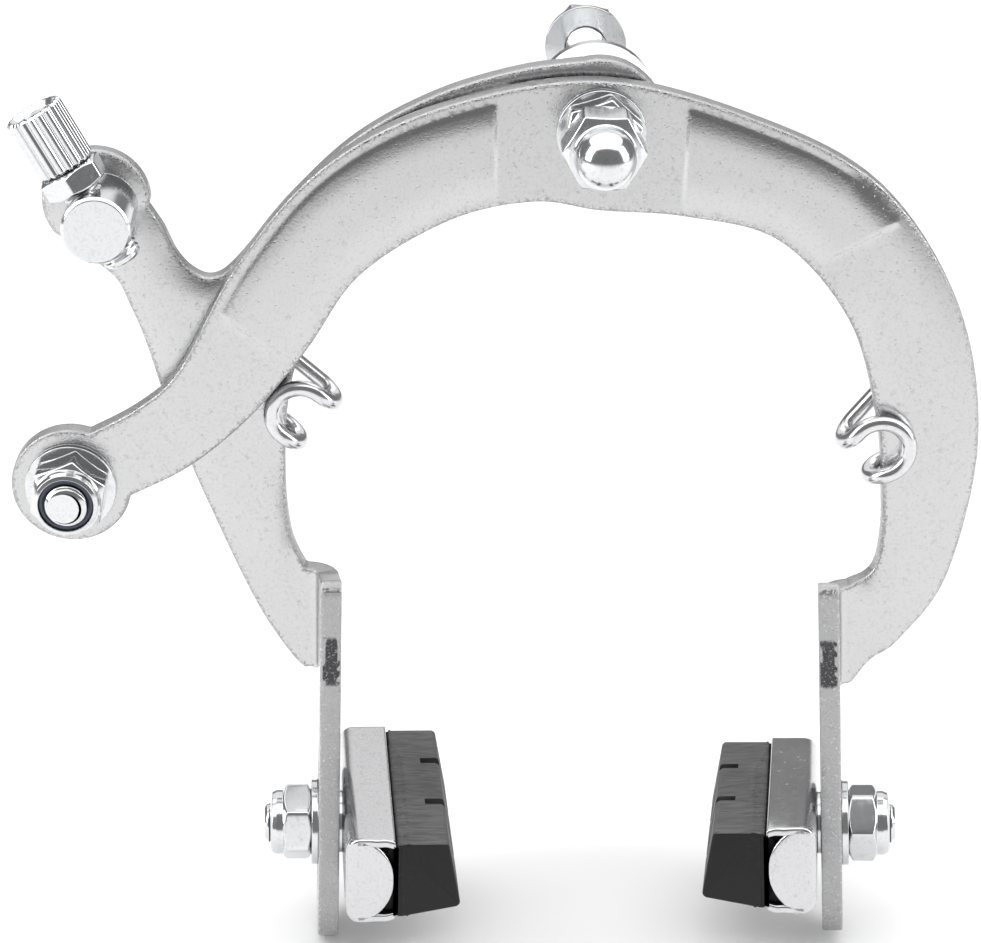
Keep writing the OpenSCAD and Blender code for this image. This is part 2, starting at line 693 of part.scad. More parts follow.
// Shoe holder: folded channel with rounded back edges, closed at its front by a round tab
module shoe_holder(i) {
    h = holder_h / 2;
    r = 2;
    color(plated) at_shoe(i) translate([collar_t, 0, 0]) difference() {
        union() {
            difference() {
                channel_bar(h, r, shoe_len / 2, -shoe_len / 2);
                translate([holder_t, 0, 0])
                    channel_bar(h - holder_t, r - holder_t, shoe_len, -shoe_len, 2);
            }
            intersection() {
                translate([0, -shoe_len / 2 + holder_t, 0]) rotate([90, 0, 0])
                    cylinder(h = holder_t, r = holder_deep);
                translate([0, -shoe_len, -h]) cube([holder_deep, 2 * shoe_len, 2 * h]);
            }
        }
        translate([-1, 0, 0]) rotate([0, 90, 0])
            cylinder(h = holder_t + 2, r = bolt_r + thread_gap);
    }
}

// Bar with the section of the shoe channel, h high each way, back corners rounded to r
module channel_bar(h, r, y1, y0, longer = 0) {
    translate([0, y1, 0]) rotate([90, 0, 0]) linear_extrude(y1 - y0) {
        translate([r, -h]) square([holder_deep - r + longer, 2 * h]);
        translate([0, r - h]) square([r + 0.01, 2 * (h - r)]);
        for (s = [-1, 1]) translate([r, s * (h - r)]) circle(r);
    }
}

// Rubber block: base in the channel, step over the lips, canted wheel face with water slots
module brake_block(i) {
    base = collar_t + holder_t;
    lip = collar_t + holder_deep;
    inner = holder_h / 2 - holder_t - bed_gap;
    h = block_h / 2;
    y1 = shoe_len / 2;
    y0 = -shoe_len / 2 + holder_t + bed_gap;
    color(rubber) at_shoe(i) difference() {
        union() {
            translate([0, y1, 0]) rotate([90, 0, 0]) linear_extrude(y1 - y0)
                polygon([[base + bed_gap, -inner + 0.8], [base + 0.85, -inner], [lip + 0.3, -inner],
                    [lip + 0.3, inner], [base + 0.85, inner], [base + bed_gap, inner - 0.8]]);
            translate([0, y1, 0]) rotate([90, 0, 0]) linear_extrude(shoe_len)
                polygon([[lip + 0.1, -h], [block_reach + block_cant - 0.4, -h + 1.7],
                    [block_reach + block_cant, -h + 2.2], [block_reach, h - 0.4],
                    [block_reach - 0.4, h], [lip + 0.1, h]]);
        }
        for (f = slot_at)
            translate([block_reach - slot_deep, f * shoe_len - slot_w / 2, -h - 1])
                cube([slot_deep + block_cant + 1, slot_w, 2 * h + 2]);
        translate([base - 1, 0, 0]) rotate([0, 90, 0])
            cylinder(h = 1 + stud_head_t + 0.1, r = stud_head_r + 0.1);
    }
}

// Shoe stud: flat head in the channel, collar against the leg, thread through the leg's slot
module shoe_stud(i) {
    reach = plate_t + washer_t + nut_h + collar_h + 0.8;
    color(plated) at_shoe(i) {
        translate([collar_t + holder_t, 0, 0]) rotate([0, 90, 0])
            cylinder(h = stud_head_t, r = stud_head_r);
        rotate([0, 90, 0]) cylinder(h = collar_t, r = bolt_r + 1.6);
        translate([collar_t + holder_t + 0.5, 0, 0]) rotate([0, -90, 0])
            bolt_rod(bolt_r, collar_t + holder_t + 0.5 + reach);
    }
}

// Frame of a shoe's nut and washer on the leg's outer face, +Z away from the wheel
module at_shoe_nut(i) {
    at_stud(i) translate([-plate_t, 0, 0]) rotate([0, -90, 0]) children();
}

module shoe_washer(i) {
    color(plated) at_shoe_nut(i) ring(shoe_washer_d / 2, bore_r, washer_t);
}

module shoe_nut(i) {
    color(plated) at_shoe_nut(i) translate([0, 0, washer_t]) rotate([0, 0, shoe_nut_turn[i]])
        lock_nut();
}

module shoe_nut_insert(i) {
    at_shoe_nut(i) translate([0, 0, washer_t]) nut_insert();
}

centre_bolt();
rear_pivot_washer();
middle_pivot_washer();
front_pivot_washer();
pivot_jam_nut();
pivot_acorn_nut();
mount_washer();
mount_nut();
mount_nut_insert();
return_spring();
rear_arm();
front_arm();
adjuster_swivel();
swivel_washer();
swivel_nut();
adjuster_barrel();
adjuster_locknut();
anchor_bolt();
pinch_washer();
anchor_washer();
anchor_nut();
anchor_nut_insert();
shoe_holder(LEFT);  // left_shoe_holder
brake_block(LEFT);  // left_brake_block
shoe_stud(LEFT);  // left_shoe_stud
shoe_washer(LEFT);  // left_shoe_washer
shoe_nut(LEFT);  // left_shoe_nut
shoe_nut_insert(LEFT);  // left_nut_insert
shoe_holder(RIGHT);  // right_shoe_holder
brake_block(RIGHT);  // right_brake_block
shoe_stud(RIGHT);  // right_shoe_stud
shoe_washer(RIGHT);  // right_shoe_washer
shoe_nut(RIGHT);  // right_shoe_nut
shoe_nut_insert(RIGHT);  // right_nut_insert
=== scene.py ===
# %% [markdown]
# # A side-pull caliper brake
#
# The solids of the brake come from the frame: two pressed arms on a centre bolt, a wire spring,
# a cable adjuster, a cable anchor and two rubber shoes. This lesson dresses them. The pressed
# arms, the spring, the turned and hexagonal pieces, the folded shoe holders and the rubber
# blocks are made again as computed surfaces with soft edges, and every surface gets a finish
# that is worked out from its own place on the object, so that it turns and moves with its piece.
# The solids could be bevelled instead, but a solid from CAD is a mesh of long thin triangles,
# and those bevel badly.

# %% Load the frame
import json
import math

import bmesh
import bpy
import numpy as np
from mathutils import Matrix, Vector
from mathutils.geometry import delaunay_2d_cdt


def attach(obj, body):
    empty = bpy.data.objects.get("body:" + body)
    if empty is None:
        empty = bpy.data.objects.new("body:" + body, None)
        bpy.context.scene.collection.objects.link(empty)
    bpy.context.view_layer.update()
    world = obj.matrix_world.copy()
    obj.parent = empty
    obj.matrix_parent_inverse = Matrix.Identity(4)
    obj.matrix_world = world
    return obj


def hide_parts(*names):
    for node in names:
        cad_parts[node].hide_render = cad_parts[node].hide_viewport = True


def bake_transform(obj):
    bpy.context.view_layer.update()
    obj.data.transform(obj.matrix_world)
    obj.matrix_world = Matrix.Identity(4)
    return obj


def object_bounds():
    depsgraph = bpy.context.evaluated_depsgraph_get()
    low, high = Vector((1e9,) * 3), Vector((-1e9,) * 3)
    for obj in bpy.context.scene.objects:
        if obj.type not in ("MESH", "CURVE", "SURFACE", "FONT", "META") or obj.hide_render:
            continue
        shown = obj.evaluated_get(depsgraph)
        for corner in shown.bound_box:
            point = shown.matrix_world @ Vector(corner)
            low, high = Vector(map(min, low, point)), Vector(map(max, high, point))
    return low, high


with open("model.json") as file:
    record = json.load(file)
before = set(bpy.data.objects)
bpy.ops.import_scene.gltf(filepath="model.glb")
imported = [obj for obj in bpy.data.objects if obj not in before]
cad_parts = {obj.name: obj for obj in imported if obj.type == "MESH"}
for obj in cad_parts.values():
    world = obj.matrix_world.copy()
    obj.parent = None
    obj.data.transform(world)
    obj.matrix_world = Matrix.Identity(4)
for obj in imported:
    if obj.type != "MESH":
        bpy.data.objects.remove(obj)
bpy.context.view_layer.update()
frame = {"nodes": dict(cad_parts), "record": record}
MM = 0.001


# %% [markdown]
# ## Shader maths as expressions
#
# A finish is a formula over the surface. Wiring every Math node by hand hides the formula, so a
# small class wraps a socket and adds the node whenever two values meet in an expression. A node
# group would hide the same formula once more. Plain numbers are worked out in Python and only
# their result goes into a socket.

# %% A value in a material
class Value:
    """One output socket of a material; + - and * on it add Math nodes."""

    def __init__(self, shop, socket):
        self.shop = shop
        self.socket = socket

    def _math(self, operation, *values):
        return self.shop.node("ShaderNodeMath", {"operation": operation},
                              {i: v for i, v in enumerate(values)})

    def __add__(self, other):
        return self._math("ADD", self, other)

    def __sub__(self, other):
        return self._math("SUBTRACT", self, other)

    def __rsub__(self, other):
        return self._math("SUBTRACT", other, self)

    def __mul__(self, other):
        return self._math("MULTIPLY", self, other)

    __radd__ = __add__
    __rmul__ = __mul__

    def between(self, low, high):
        """Smooth rise from 0 at low to 1 at high."""
        return self.shop.node("ShaderNodeMapRange", {"interpolation_type": "SMOOTHSTEP"},
                              {"Value": self, "From Min": low, "From Max": high})


# %% A shop that makes one finish
class Finish:
    """A material under construction: a Principled shader and the nodes that feed it."""

    def __init__(self, name, **settings):
        self.material = bpy.data.materials.new(name)
        self.material.use_nodes = True
        self.tree = self.material.node_tree
        self.shader = self.tree.nodes["Principled BSDF"]
        for socket, value in settings.items():
            self.shader.inputs[socket.replace("_", " ")].default_value = value
        self.place = self.node("ShaderNodeTexCoord", {}, {}, out="Object")

    def node(self, kind, settings, sockets, out=0):
        """Any node: its settings first, then each socket's value or link."""
        node = self.tree.nodes.new(kind)
        for key, value in settings.items():
            setattr(node, key, value)
        for key, value in sockets.items():
            self.feed(node.inputs[key], value)
        return Value(self, node.outputs[out])

    def feed(self, socket, value):
        if isinstance(value, Value):
            self.tree.links.new(value.socket, socket)
        else:
            socket.default_value = value

    def noise(self, per_mm, detail=3, rough=0.55, stretch=None):
        """Soft noise with about per_mm lumps a millimetre, stretched by a scale vector."""
        place = self.place
        if stretch:
            place = self.node("ShaderNodeMapping", {}, {"Vector": place, "Scale": stretch})
        return self.node("ShaderNodeTexNoise", {"noise_dimensions": "3D"},
                         {"Vector": place, "Scale": per_mm / MM, "Detail": detail,
                          "Roughness": rough})

    def cells(self, per_mm):
        """Distance to the nearest of scattered points, about per_mm points a millimetre."""
        return self.node("ShaderNodeTexVoronoi", {"feature": "F1"},
                         {"Vector": self.place, "Scale": per_mm / MM})

    def mix(self, factor, a, b):
        """Colour a where the factor is 0 and b where it is 1."""
        node = self.tree.nodes.new("ShaderNodeMix")
        node.data_type = "RGBA"
        self.feed(node.inputs[0], factor)
        for socket, value in ((node.inputs[6], a), (node.inputs[7], b)):
            self.feed(socket, value if isinstance(value, Value) else (*value, 1))
        return Value(self, node.outputs[2])

    def bump(self, height, depth_mm, strength):
        """A bump whose height of 1 stands depth_mm proud."""
        return self.node("ShaderNodeBump", {}, {"Height": height, "Distance": depth_mm * MM,
                                                "Strength": strength})

    def attribute(self, name):
        """A number that a piece carries at each of its points."""
        return self.node("ShaderNodeAttribute", {"attribute_name": name}, {}, out="Fac")

    def feeds(self, **sockets):
        """Links values to the shader's own sockets and returns the finished material."""
        for socket, value in sockets.items():
            self.feed(self.shader.inputs[socket.replace("_", " ")], value)
        return self.material


# %% [markdown]
# ## Measures shared with the solids
#
# The dressed pieces stand exactly where the solids stand, so the few sizes that both need are
# written down once, in millimetres: the layers along the centre bolt, the places of the swivel
# and the anchor, and the frames of the two legs. Most of the hardware is 6 mm, so its rod, hole,
# nut and washer are named once too, with each thread as crest radius, pitch and depth.
# They could be measured on the solids' boxes, but a box says nothing about a leaning axis.
# Everything is turned into metres at the end.

# %% Layers and places, in millimetres
PLATE = 3.0
BEND = 1.5
FACE = {"left": -13.0, "right": -17.0}
STUD_DROP = {"left": 103.1, "right": 104.1}
REACH = {"left": 42.5, "right": 39.0}
SPREAD = {"left": 1.7, "right": 3.3}
LEAN = {"left": 3.0, "right": 7.0}
PITCH = {"left": 4.5, "right": 10.0}
STUD_DEEP = {s: 23.7 + FACE[s] - BEND for s in FACE}
LEG_DEEP = {s: 31.0 + FACE[s] - BEND for s in FACE}
EAR = (-68.2155, -11.396)
EAR_END = (EAR[0] - 1.1, EAR[1] + 0.4)
EAR_R = 7.5
ANCHOR = (-74.5725, -51.8)
BARREL_LEAN = 28.0
ROD, HOLE, FLATS, WASHER_R = 3.0, 3.06, 10.0, 6.1
M6, M5, BARREL_THREAD = (ROD, 1.0, 0.5), (2.5, 0.8, 0.4), (2.8, 0.8, 0.4)
HEX_SIDES, RING_SIDES, ROD_SIDES = 144, 96, 64


# %% Frames on the brake
def turn(axis, degrees):
    """Rotation matrix about x, y or z: the plane of the other two turns by the angle."""
    c, s = math.cos(math.radians(degrees)), math.sin(math.radians(degrees))
    first, second = {"x": (1, 2), "y": (2, 0), "z": (0, 1)}[axis]
    m = np.eye(3)
    m[first, first] = m[second, second] = c
    m[second, first], m[first, second] = s, -s
    return m


class Place:
    """A frame on the brake: a point in millimetres and three axes as a matrix's columns."""

    def __init__(self, origin, axes=np.eye(3)):
        self.origin = np.array(origin, float)
        self.axes = axes

    def on(self, points):
        """Points of this frame, in the brake's own frame."""
        return points @ self.axes.T + self.origin

    def shift(self, x=0, y=0, z=0):
        return Place(self.on(np.array([x, y, z], float)), self.axes)

    def turned(self, axis, degrees):
        return Place(self.origin, self.axes @ turn(axis, degrees))


def along_front(y, at=(0, 0)):
    """Frame whose +z leads to the front of the brake, from depth y."""
    return Place((at[0], y, at[1])).turned("x", 90)


def along_back(y, at=(0, 0)):
    """Frame whose +z leads to the bicycle, from depth y."""
    return Place((at[0], y, at[1])).turned("x", -90)


# %% Frames of the legs, studs and shoes
LEG = {}
STUD = {}
SHOE = {}
for side in ("left", "right"):
    way = 1 if side == "left" else -1
    mirror = np.diag([way, 1.0, 1.0])
    LEG[side] = Place((-way * REACH[side], FACE[side] - BEND, -STUD_DROP[side]),
                      turn("y", way * SPREAD[side]) @ mirror)
    STUD[side] = LEG[side].turned("z", LEAN[side]).shift(BEND + PLATE, -STUD_DEEP[side], 0)
    SHOE[side] = STUD[side].turned("x", -PITCH[side])
BARREL = Place((EAR[0], FACE["left"] - 5.6, EAR[1])).turned("y", -BARREL_LEAN)
print("studs at", {s: np.round(STUD[s].origin, 1).tolist() for s in STUD})


# %% [markdown]
# ## From arrays to Blender
#
# Every new piece is a handful of grids of points, worked out as whole arrays. One helper turns a
# grid into faces, another puts all grids of a piece into one mesh, makes its faces point
# outwards and hands the piece to its body. Faces could be added one by one, but a brake of a
# million triangles would then take minutes. The finished object sits at the origin, with its
# place in its mesh, as the solids' objects do.

# %% Grids and pieces
def grid(points, around=False, along=False):
    """Points (rows, columns, 3) and the quads between neighbours; a closed direction wraps."""
    rows, columns = points.shape[:2]
    r = np.arange(rows if along else rows - 1)[:, None]
    c = np.arange(columns if around else columns - 1)[None, :]
    r2, c2 = (r + 1) % rows, (c + 1) % columns
    quads = np.stack([r * columns + c, r * columns + c2, r2 * columns + c2, r2 * columns + c],
                     axis=-1)
    return points.reshape(-1, 3), quads.reshape(-1, 4)


def piece(name, parts, body, slot, finish, replaces=(), marks=None):
    """One object from parts of (points in mm, faces); marks are numbers kept at each point."""
    points = np.concatenate([p for p, _ in parts]) * MM
    start = np.cumsum([0] + [len(p) for p, _ in parts[:-1]])
    faces = []
    for (_, own), first in zip(parts, start.tolist()):
        faces += (own + first).tolist() if isinstance(own, np.ndarray) \
            else [[k + first for k in row] for row in own]
    mesh = bpy.data.meshes.new(name)
    mesh.from_pydata(points.tolist(), [], faces)
    for key, values in (marks or {}).items():
        layer = mesh.attributes.new(key, "FLOAT", "POINT")
        layer.data.foreach_set("value", np.asarray(values, np.float32))
    mesh.validate()
    obj = bpy.data.objects.new(name, mesh)
    bpy.context.scene.collection.objects.link(obj)
    work = bmesh.new()
    work.from_mesh(mesh)
    bmesh.ops.remove_doubles(work, verts=work.verts, dist=2e-7)
    bmesh.ops.recalc_face_normals(work, faces=work.faces)
    if work.calc_volume(signed=True) < 0:
        bmesh.ops.reverse_faces(work, faces=work.faces)
    work.to_mesh(mesh)
    work.free()
    mesh.shade_smooth()
    mesh.materials.append(finish)
    if body:
        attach(obj, body)
    if replaces:
        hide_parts(*replaces)
    print(f"{name}: {len(mesh.polygons)} faces on {body or 'two bodies'}")
    return obj


# %% [markdown]
# ## Turned pieces
#
# Washers, nuts, bolts and the adjuster are turned round an axis. Their profile is a line of
# radius and height. Its corners are rounded first, as no real edge is perfectly sharp, and a
# second function may then change the radius round the axis: to a hexagon, to flutes or to a
# thread. A Screw modifier turns a profile too, but can't change the radius on the way round.
# A nut's curved chamfer lines come out by themselves where hexagon and cone meet.

# %% Profiles, and surfaces round an axis
def soften(profile, radius, steps=3):
    """Each corner becomes an arc that starts and ends radius * tan(half the turn) from it."""
    p = np.array(profile, float)
    out = [p[0]]
    for a, b, c in zip(p[:-2], p[1:-1], p[2:]):
        la, lc = np.linalg.norm(a - b), np.linalg.norm(c - b)
        ua, uc = (a - b) / la, (c - b) / lc
        half = 0.5 * math.acos(np.clip(ua @ uc, -1, 1))
        cut = min(radius / max(math.tan(half), 1e-3), 0.45 * la, 0.45 * lc)
        reach = cut / max(math.cos(half), 1e-3)
        bend = cut * math.tan(half)
        if half > math.radians(88) or cut < 1e-4:
            out.append(b)
            continue
        middle = b + (ua + uc) / np.linalg.norm(ua + uc) * reach
        spread = math.pi / 2 - half
        inward = (b - middle) / np.linalg.norm(b - middle)
        side = ua - inward * (ua @ inward)
        side /= np.linalg.norm(side)
        edge = min(0.02, 0.3 * cut)
        out.append(b + ua * (cut + edge))
        for t in np.linspace(spread, -spread, steps + 1):
            out.append(middle + bend * (inward * math.cos(t) + side * math.sin(t)))
        out.append(b + uc * (cut + edge))
    out.append(p[-1])
    return np.array(out)


def resample(profile, step):
    """Adds points so that no stretch of the profile is longer than step."""
    out = [profile[:1]]
    for a, b in zip(profile[:-1], profile[1:]):
        n = max(1, math.ceil(np.linalg.norm(b - a) / step))
        out.append(a + (b - a) * np.linspace(0, 1, n + 1)[1:, None])
    return np.concatenate(out)


# %% Surfaces round an axis
def round_axis(place, profile, sides=64, shape=None):
    """Point = (r cos t, r sin t, h) for each (r, h) of the profile, r changed by shape(t, r, h)."""
    t = np.linspace(0, 2 * math.pi, sides, endpoint=False)[None, :]
    r = np.repeat(profile[:, :1], sides, axis=1)
    h = np.repeat(profile[:, 1:], sides, axis=1)
    if shape:
        r = shape(t, r, h)
    points = np.stack([r * np.cos(t), r * np.sin(t), h], axis=-1)
    vertices, quads = grid(points, around=True)
    return place.on(vertices), quads


def hexagon(flats, twist=0, soft=0.07):
    """Radius kept inside a hexagon: a soft minimum of the turned radius and the flats' distance."""
    def shape(t, r, h):
        sector = (t - math.radians(twist) + math.pi / 6) % (math.pi / 3) - math.pi / 6
        wall = flats / 2 / np.cos(sector)
        return r - soft * np.logaddexp(0, (r - wall) / soft)
    return shape


def thread(crest, pitch, depth, start, end):
    """Radius less a helical V groove, which fades out over one turn at both ends."""
    def shape(t, r, h):
        phase = (h / pitch - t / (2 * math.pi)) % 1
        groove = np.clip(1.15 - np.abs(phase - 0.5) * 2.6, 0, 1)
        fade = np.clip((h - start) / pitch, 0, 1) * np.clip((end - h) / pitch, 0, 1)
        return np.where(r > crest - 1.3 * depth, r - depth * groove * fade, r)
    return shape


# %% Profiles of washers, nuts and rods
def ring_profile(radius, hole, thick, edge=0.15):
    """Closed profile of a flat washer, from its hole over the rim and back."""
    line = [[hole, thick / 2], [hole, 0], [radius, 0], [radius, thick], [hole, thick],
            [hole, thick / 2]]
    return resample(soften(line, edge), 1.5)


def nut_profile(flats, height, hole):
    """Profile of a chamfered nut: flat ends, a 30 degree chamfer and the corner's radius."""
    corner = flats / 2 / math.cos(math.pi / 6)
    rise = (corner - 0.475 * flats) * math.tan(math.pi / 6)
    line = [[hole, height / 2], [hole, 0.3], [hole + 0.3, 0], [0.475 * flats, 0],
            [corner, rise], [corner, height - rise], [0.475 * flats, height],
            [hole + 0.3, height], [hole, height - 0.3], [hole, height / 2]]
    return resample(soften(line, 0.12), 0.16)


def rod_profile(radius, length, chamfer=0.6, step=1.0):
    """Profile of a rod from its closed foot to a chamfered tip."""
    line = [[0, 0], [radius, 0], [radius, length - chamfer], [radius - chamfer, length],
            [0, length]]
    return resample(soften(line, 0.08), step)


# %% [markdown]
# ## The pressed arms
#
# Each arm is blanked from 3 mm plate, its panels are pushed up in a press, and its end is bent
# square to make the leg. The surface is made the same way here: a flat pattern first, then a
# relief over it, then a fold. An extruded outline with a bevel would give the plate, but not
# the panels, the hollows behind them or the bend. In the pattern, u runs away from the bend
# line, to minus in the plate and to plus round the bend and down into the leg, and v is the
# height over the stud.

# %% Curves of the outline
def flowing(points, steps=8):
    """Smooth curve through the points: each span is a cubic whose end slopes follow neighbours."""
    p = np.array(points, float)
    q = np.vstack([p[:1], p, p[-1:]])
    t = np.arange(steps)[:, None] / steps
    spans = [0.5 * (2 * b + (c - a) * t + (2 * a - 5 * b + 4 * c - d) * t ** 2
                    + (3 * b - a - 3 * c + d) * t ** 3)
             for a, b, c, d in zip(q[:-3], q[1:-2], q[2:-1], q[3:])]
    return np.vstack(spans + [p[-1:]])


def arc(middle, radius, start, end, step=0.7):
    """Points on a circle from one angle to another, about step apart."""
    n = max(3, math.ceil(abs(math.radians(end - start)) * radius / step))
    a = np.radians(np.linspace(start, end, n + 1))
    return np.array(middle) + radius * np.stack([np.cos(a), np.sin(a)], axis=1)


def angle_of(point, middle):
    return math.degrees(math.atan2(point[1] - middle[1], point[0] - middle[0]))


def outside(points, middle, radius):
    """Keeps the points that lie outside a circle."""
    return points[np.linalg.norm(points - np.array(middle), axis=1) > radius + 0.05]


# %% Distances in the pattern
def reach_to(points, loop, far=5.0, strip=3.0):
    """Distance of each point from a closed line, up to far, and whether it lies inside it.

    The points are taken in strips, each with only the stretches of the line that come near."""
    a, b = loop, np.roll(loop, -1, axis=0)
    left, right = np.minimum(a[:, 0], b[:, 0]), np.maximum(a[:, 0], b[:, 0])
    best = np.full(len(points), far)
    inside = np.zeros(len(points), bool)
    number = np.floor(points[:, 0] / strip).astype(int)
    for k in np.unique(number):
        here = np.flatnonzero(number == k)
        near = (right > k * strip - far) & (left < (k + 1) * strip + far)
        if not near.any():
            continue
        p, s, d = points[here, None, :], a[near], (b - a)[near]
        t = np.clip(((p - s) * d).sum(-1) / np.maximum((d ** 2).sum(-1), 1e-12), 0, 1)
        best[here] = np.minimum(far, np.linalg.norm(p - s - t[..., None] * d, axis=-1).min(axis=1))
        spans = (s[:, 0] > p[..., 0]) != (s[:, 0] + d[:, 0] > p[..., 0])
        with np.errstate(divide="ignore", invalid="ignore"):
            above = s[:, 1] + (p[..., 0] - s[:, 0]) / d[:, 0] * d[:, 1] > p[..., 1]
        inside[here] = (spans & above).sum(axis=1) % 2 == 1
    return best, inside


def signed(points, loop):
    """Distance from the line, plus inside and minus outside."""
    gap, inside = reach_to(points, loop)
    return np.where(inside, gap, -gap)


def offset(loop, by):
    """The closed line moved to its left by a distance, along the normal at each point."""
    d = np.roll(loop, -1, axis=0) - np.roll(loop, 1, axis=0)
    n = np.stack([-d[:, 1], d[:, 0]], axis=1)
    return loop + by * n / np.linalg.norm(n, axis=1)[:, None]


def even(loop, step):
    """The closed line with its corners rounded and its points at most step apart."""
    wrapped = np.vstack([loop[-1:], loop, loop[:1]])
    return resample(soften(wrapped, 0.7, 4), step)[1:-1]


# %% Folding the pattern
FLAT_FROM = 50.0


def fold(side, u, v, n):
    """Pattern (u, v) and offset n from the mid plane to a point on the arm.

    Plate: (u, R - n). Bend: radius R - n at an angle that falls from 90 degrees to the lean.
    Leg: on from there in a straight line, where R is the radius of the mid plane."""
    middle = BEND + PLATE / 2
    lean = math.radians(LEAN[side])
    length = middle * (math.pi / 2 - lean)
    bent = np.where(v < FLAT_FROM, np.maximum(u, 0), 0)
    angle = math.pi / 2 - np.minimum(bent / length, 1) * (math.pi / 2 - lean)
    radius = middle - n
    over = np.maximum(bent - length, 0)
    x = radius * np.cos(angle) + u - bent + over * math.sin(lean)
    y = radius * np.sin(angle) - over * math.cos(lean)
    return LEG[side].on(np.stack([x, y, v], axis=-1))


def bend_length(side):
    return (BEND + PLATE / 2) * math.radians(90 - LEAN[side])


# %% Outlines of both arms, in millimetres on the plate
TOP = {"left": 36.0, "right": 35.5}
FRONT_TOP = {"left": 42.4, "right": 42.6}
FOOT = {"left": 20.0, "right": 19.6}
TAIL = 10.6
REAR_OUTER = [(-2.35, 8.755), (-11, 7.6), (-22, 4.3), (-33, -1.6), (-42, -9.8), (-50.2, -19.6),
              (-53.6, -22.1), (-56.4, -21.2), (-58.6, -18.6), (-60.2, -14.9), (-62.2, -11.6)]
REAR_LOWER = [(-74.7, -15.9), (-70.8, -19), (-67.1, -22.4), (-65.3, -26.6), (-63.4, -32),
              (-60, -44.5), (-54.4, -60), (-49, -73.2), (-44.6, -80.9), (-42.3, -83.3)]
REAR_INNER = [(-41.8, -66.9), (-43, -64.3), (-43.9, -61), (-44.4, -54), (-43.8, -42),
              (-40.8, -31.5), (-32, -20), (-20, -12.6), (-9, -10.2), (0, -9.9)]
FRONT_OUTER = [(-72.4, -44.2), (-64.5, -39.9), (-58.4, -34), (-50, -18.8), (-38.1, -5.1),
               (-22, 3.4), (0, 7.1), (22, 1.2), (38.9, -8.3), (50.4, -25.6), (54.5, -46),
               (51.4, -67), (45, -77.6), (41, -80.9), (38.3, -84.3)]
FRONT_INNER = [(37.3, -68.4), (39.4, -67.4), (40.7, -65.6), (41.3, -62), (41.3, -56),
               (39.9, -43), (35.1, -27.6), (24.9, -15.8), (12, -12.2), (0, -11.2), (-9, -9.9),
               (-20.5, -12.5), (-33, -20.4), (-40.6, -31.4), (-49, -41.6), (-58, -49.2),
               (-67.5, -54.2), (-70.6, -57.5)]
WINDOWS = {"left": [[(-12, 12), (-12, -14), (-30, -22), (-39, -34), (-50, -27), (-46, 0)]],
           "right": [[(-14, 12), (-14, -14), (-30, -24), (-43.4, -33.6), (-53.6, -25.4),
                      (-60, 0)],
                     [(12, 12), (11, -14), (27, -21), (44, -12), (40, 4)]]}
PANEL, RIM, SHOULDER = 0.5, 1.7, 3.6


# %% From the outlines to the pattern
def to_pattern(side, points):
    """Points of the plate, as x and z, in the pattern's u and v."""
    p = np.stack([points[:, 0], np.zeros(len(points)), points[:, 1]], axis=1)
    local = (p - LEG[side].origin) @ LEG[side].axes
    return local[:, [0, 2]]


def leg_line(side):
    """Outline of bend and leg from the plate's lower corner round to its upper one."""
    start = bend_length(side)
    deep = LEG_DEEP[side] / math.cos(math.radians(LEAN[side]))
    r = deep / 2
    line = [np.array([(0, FOOT[side]), (start - 1, FOOT[side]), (start, FOOT[side] - 3)]),
            arc((start + r, -TAIL), r, -180, 0),
            arc((start + deep - 2, FRONT_TOP[side] - 2), 2, 0, 72),
            np.array([(start + 1.0, TOP[side] + 0.5), (start - 1, TOP[side]), (0, TOP[side])])]
    return np.vstack(line)


def rear_line():
    """Eye, outer edge with its notch, round ear, outer edge to the leg, leg, inner edge."""
    outer = outside(flowing(REAR_OUTER), (0, 0), 9)
    lower = flowing(REAR_LOWER)
    inner = outside(flowing(REAR_INNER), (0, 0), 9)
    ear = arc(EAR_END, EAR_R, angle_of(REAR_OUTER[-1], EAR_END) + 6, 218)
    eye = arc((0, 0), 9, -86, angle_of(outer[0], (0, 0)))
    return [np.vstack([eye, outer, ear, lower]), inner]


def front_line():
    """Round end at the anchor, outer edge over the top to the leg, leg, inner edge back."""
    outer = outside(flowing(FRONT_OUTER), ANCHOR, 8.5)
    inner = outside(flowing(FRONT_INNER), ANCHOR, 8.5)
    end = arc(ANCHOR, 8.5, angle_of(inner[-1], ANCHOR) - 3, angle_of(outer[0], ANCHOR) - 357)
    return [np.vstack([end, outer]), inner]


# %% Relief and rounded edges
RIM_SHARE, RIM_STEP = 0.25, 0.3
WINDOW_STEP = (-0.1, 0.6)
HOLLOW_STEP = (1.0, 1.9)


def smooth_rise(value, low, high):
    """3 t^2 - 2 t^3, where t runs from 0 at low to 1 at high."""
    t = np.clip((value - low) / (high - low), 0, 1)
    return t * t * (3 - 2 * t)


def relief(side, plate, border):
    """Height of the panels in front, the hollow's height behind, and the distance from the step.

    Front: PANEL * crown * smooth step across the window's line. The crown jumps to a quarter at
    RIM from the outline and then rises as 1 - (1 - t)^2 over SHOULDER. Behind, the punch leaves
    one smooth step that stands a millimetre further in."""
    field = np.full(len(plate), -9.0)
    for window in WINDOWS[side]:
        field = np.maximum(field, signed(plate, np.array(window)))
    crown = np.clip((border - RIM) / SHOULDER, 0, 1)
    crown = RIM_SHARE + (1 - RIM_SHARE) * (1 - (1 - crown) ** 2)
    crown = crown * np.clip((border - RIM) / RIM_STEP + 0.5, 0, 1)
    height = PANEL * crown * smooth_rise(field, *WINDOW_STEP)
    field = np.minimum(border - RIM, field)
    return height, PANEL * smooth_rise(field, *HOLLOW_STEP), field


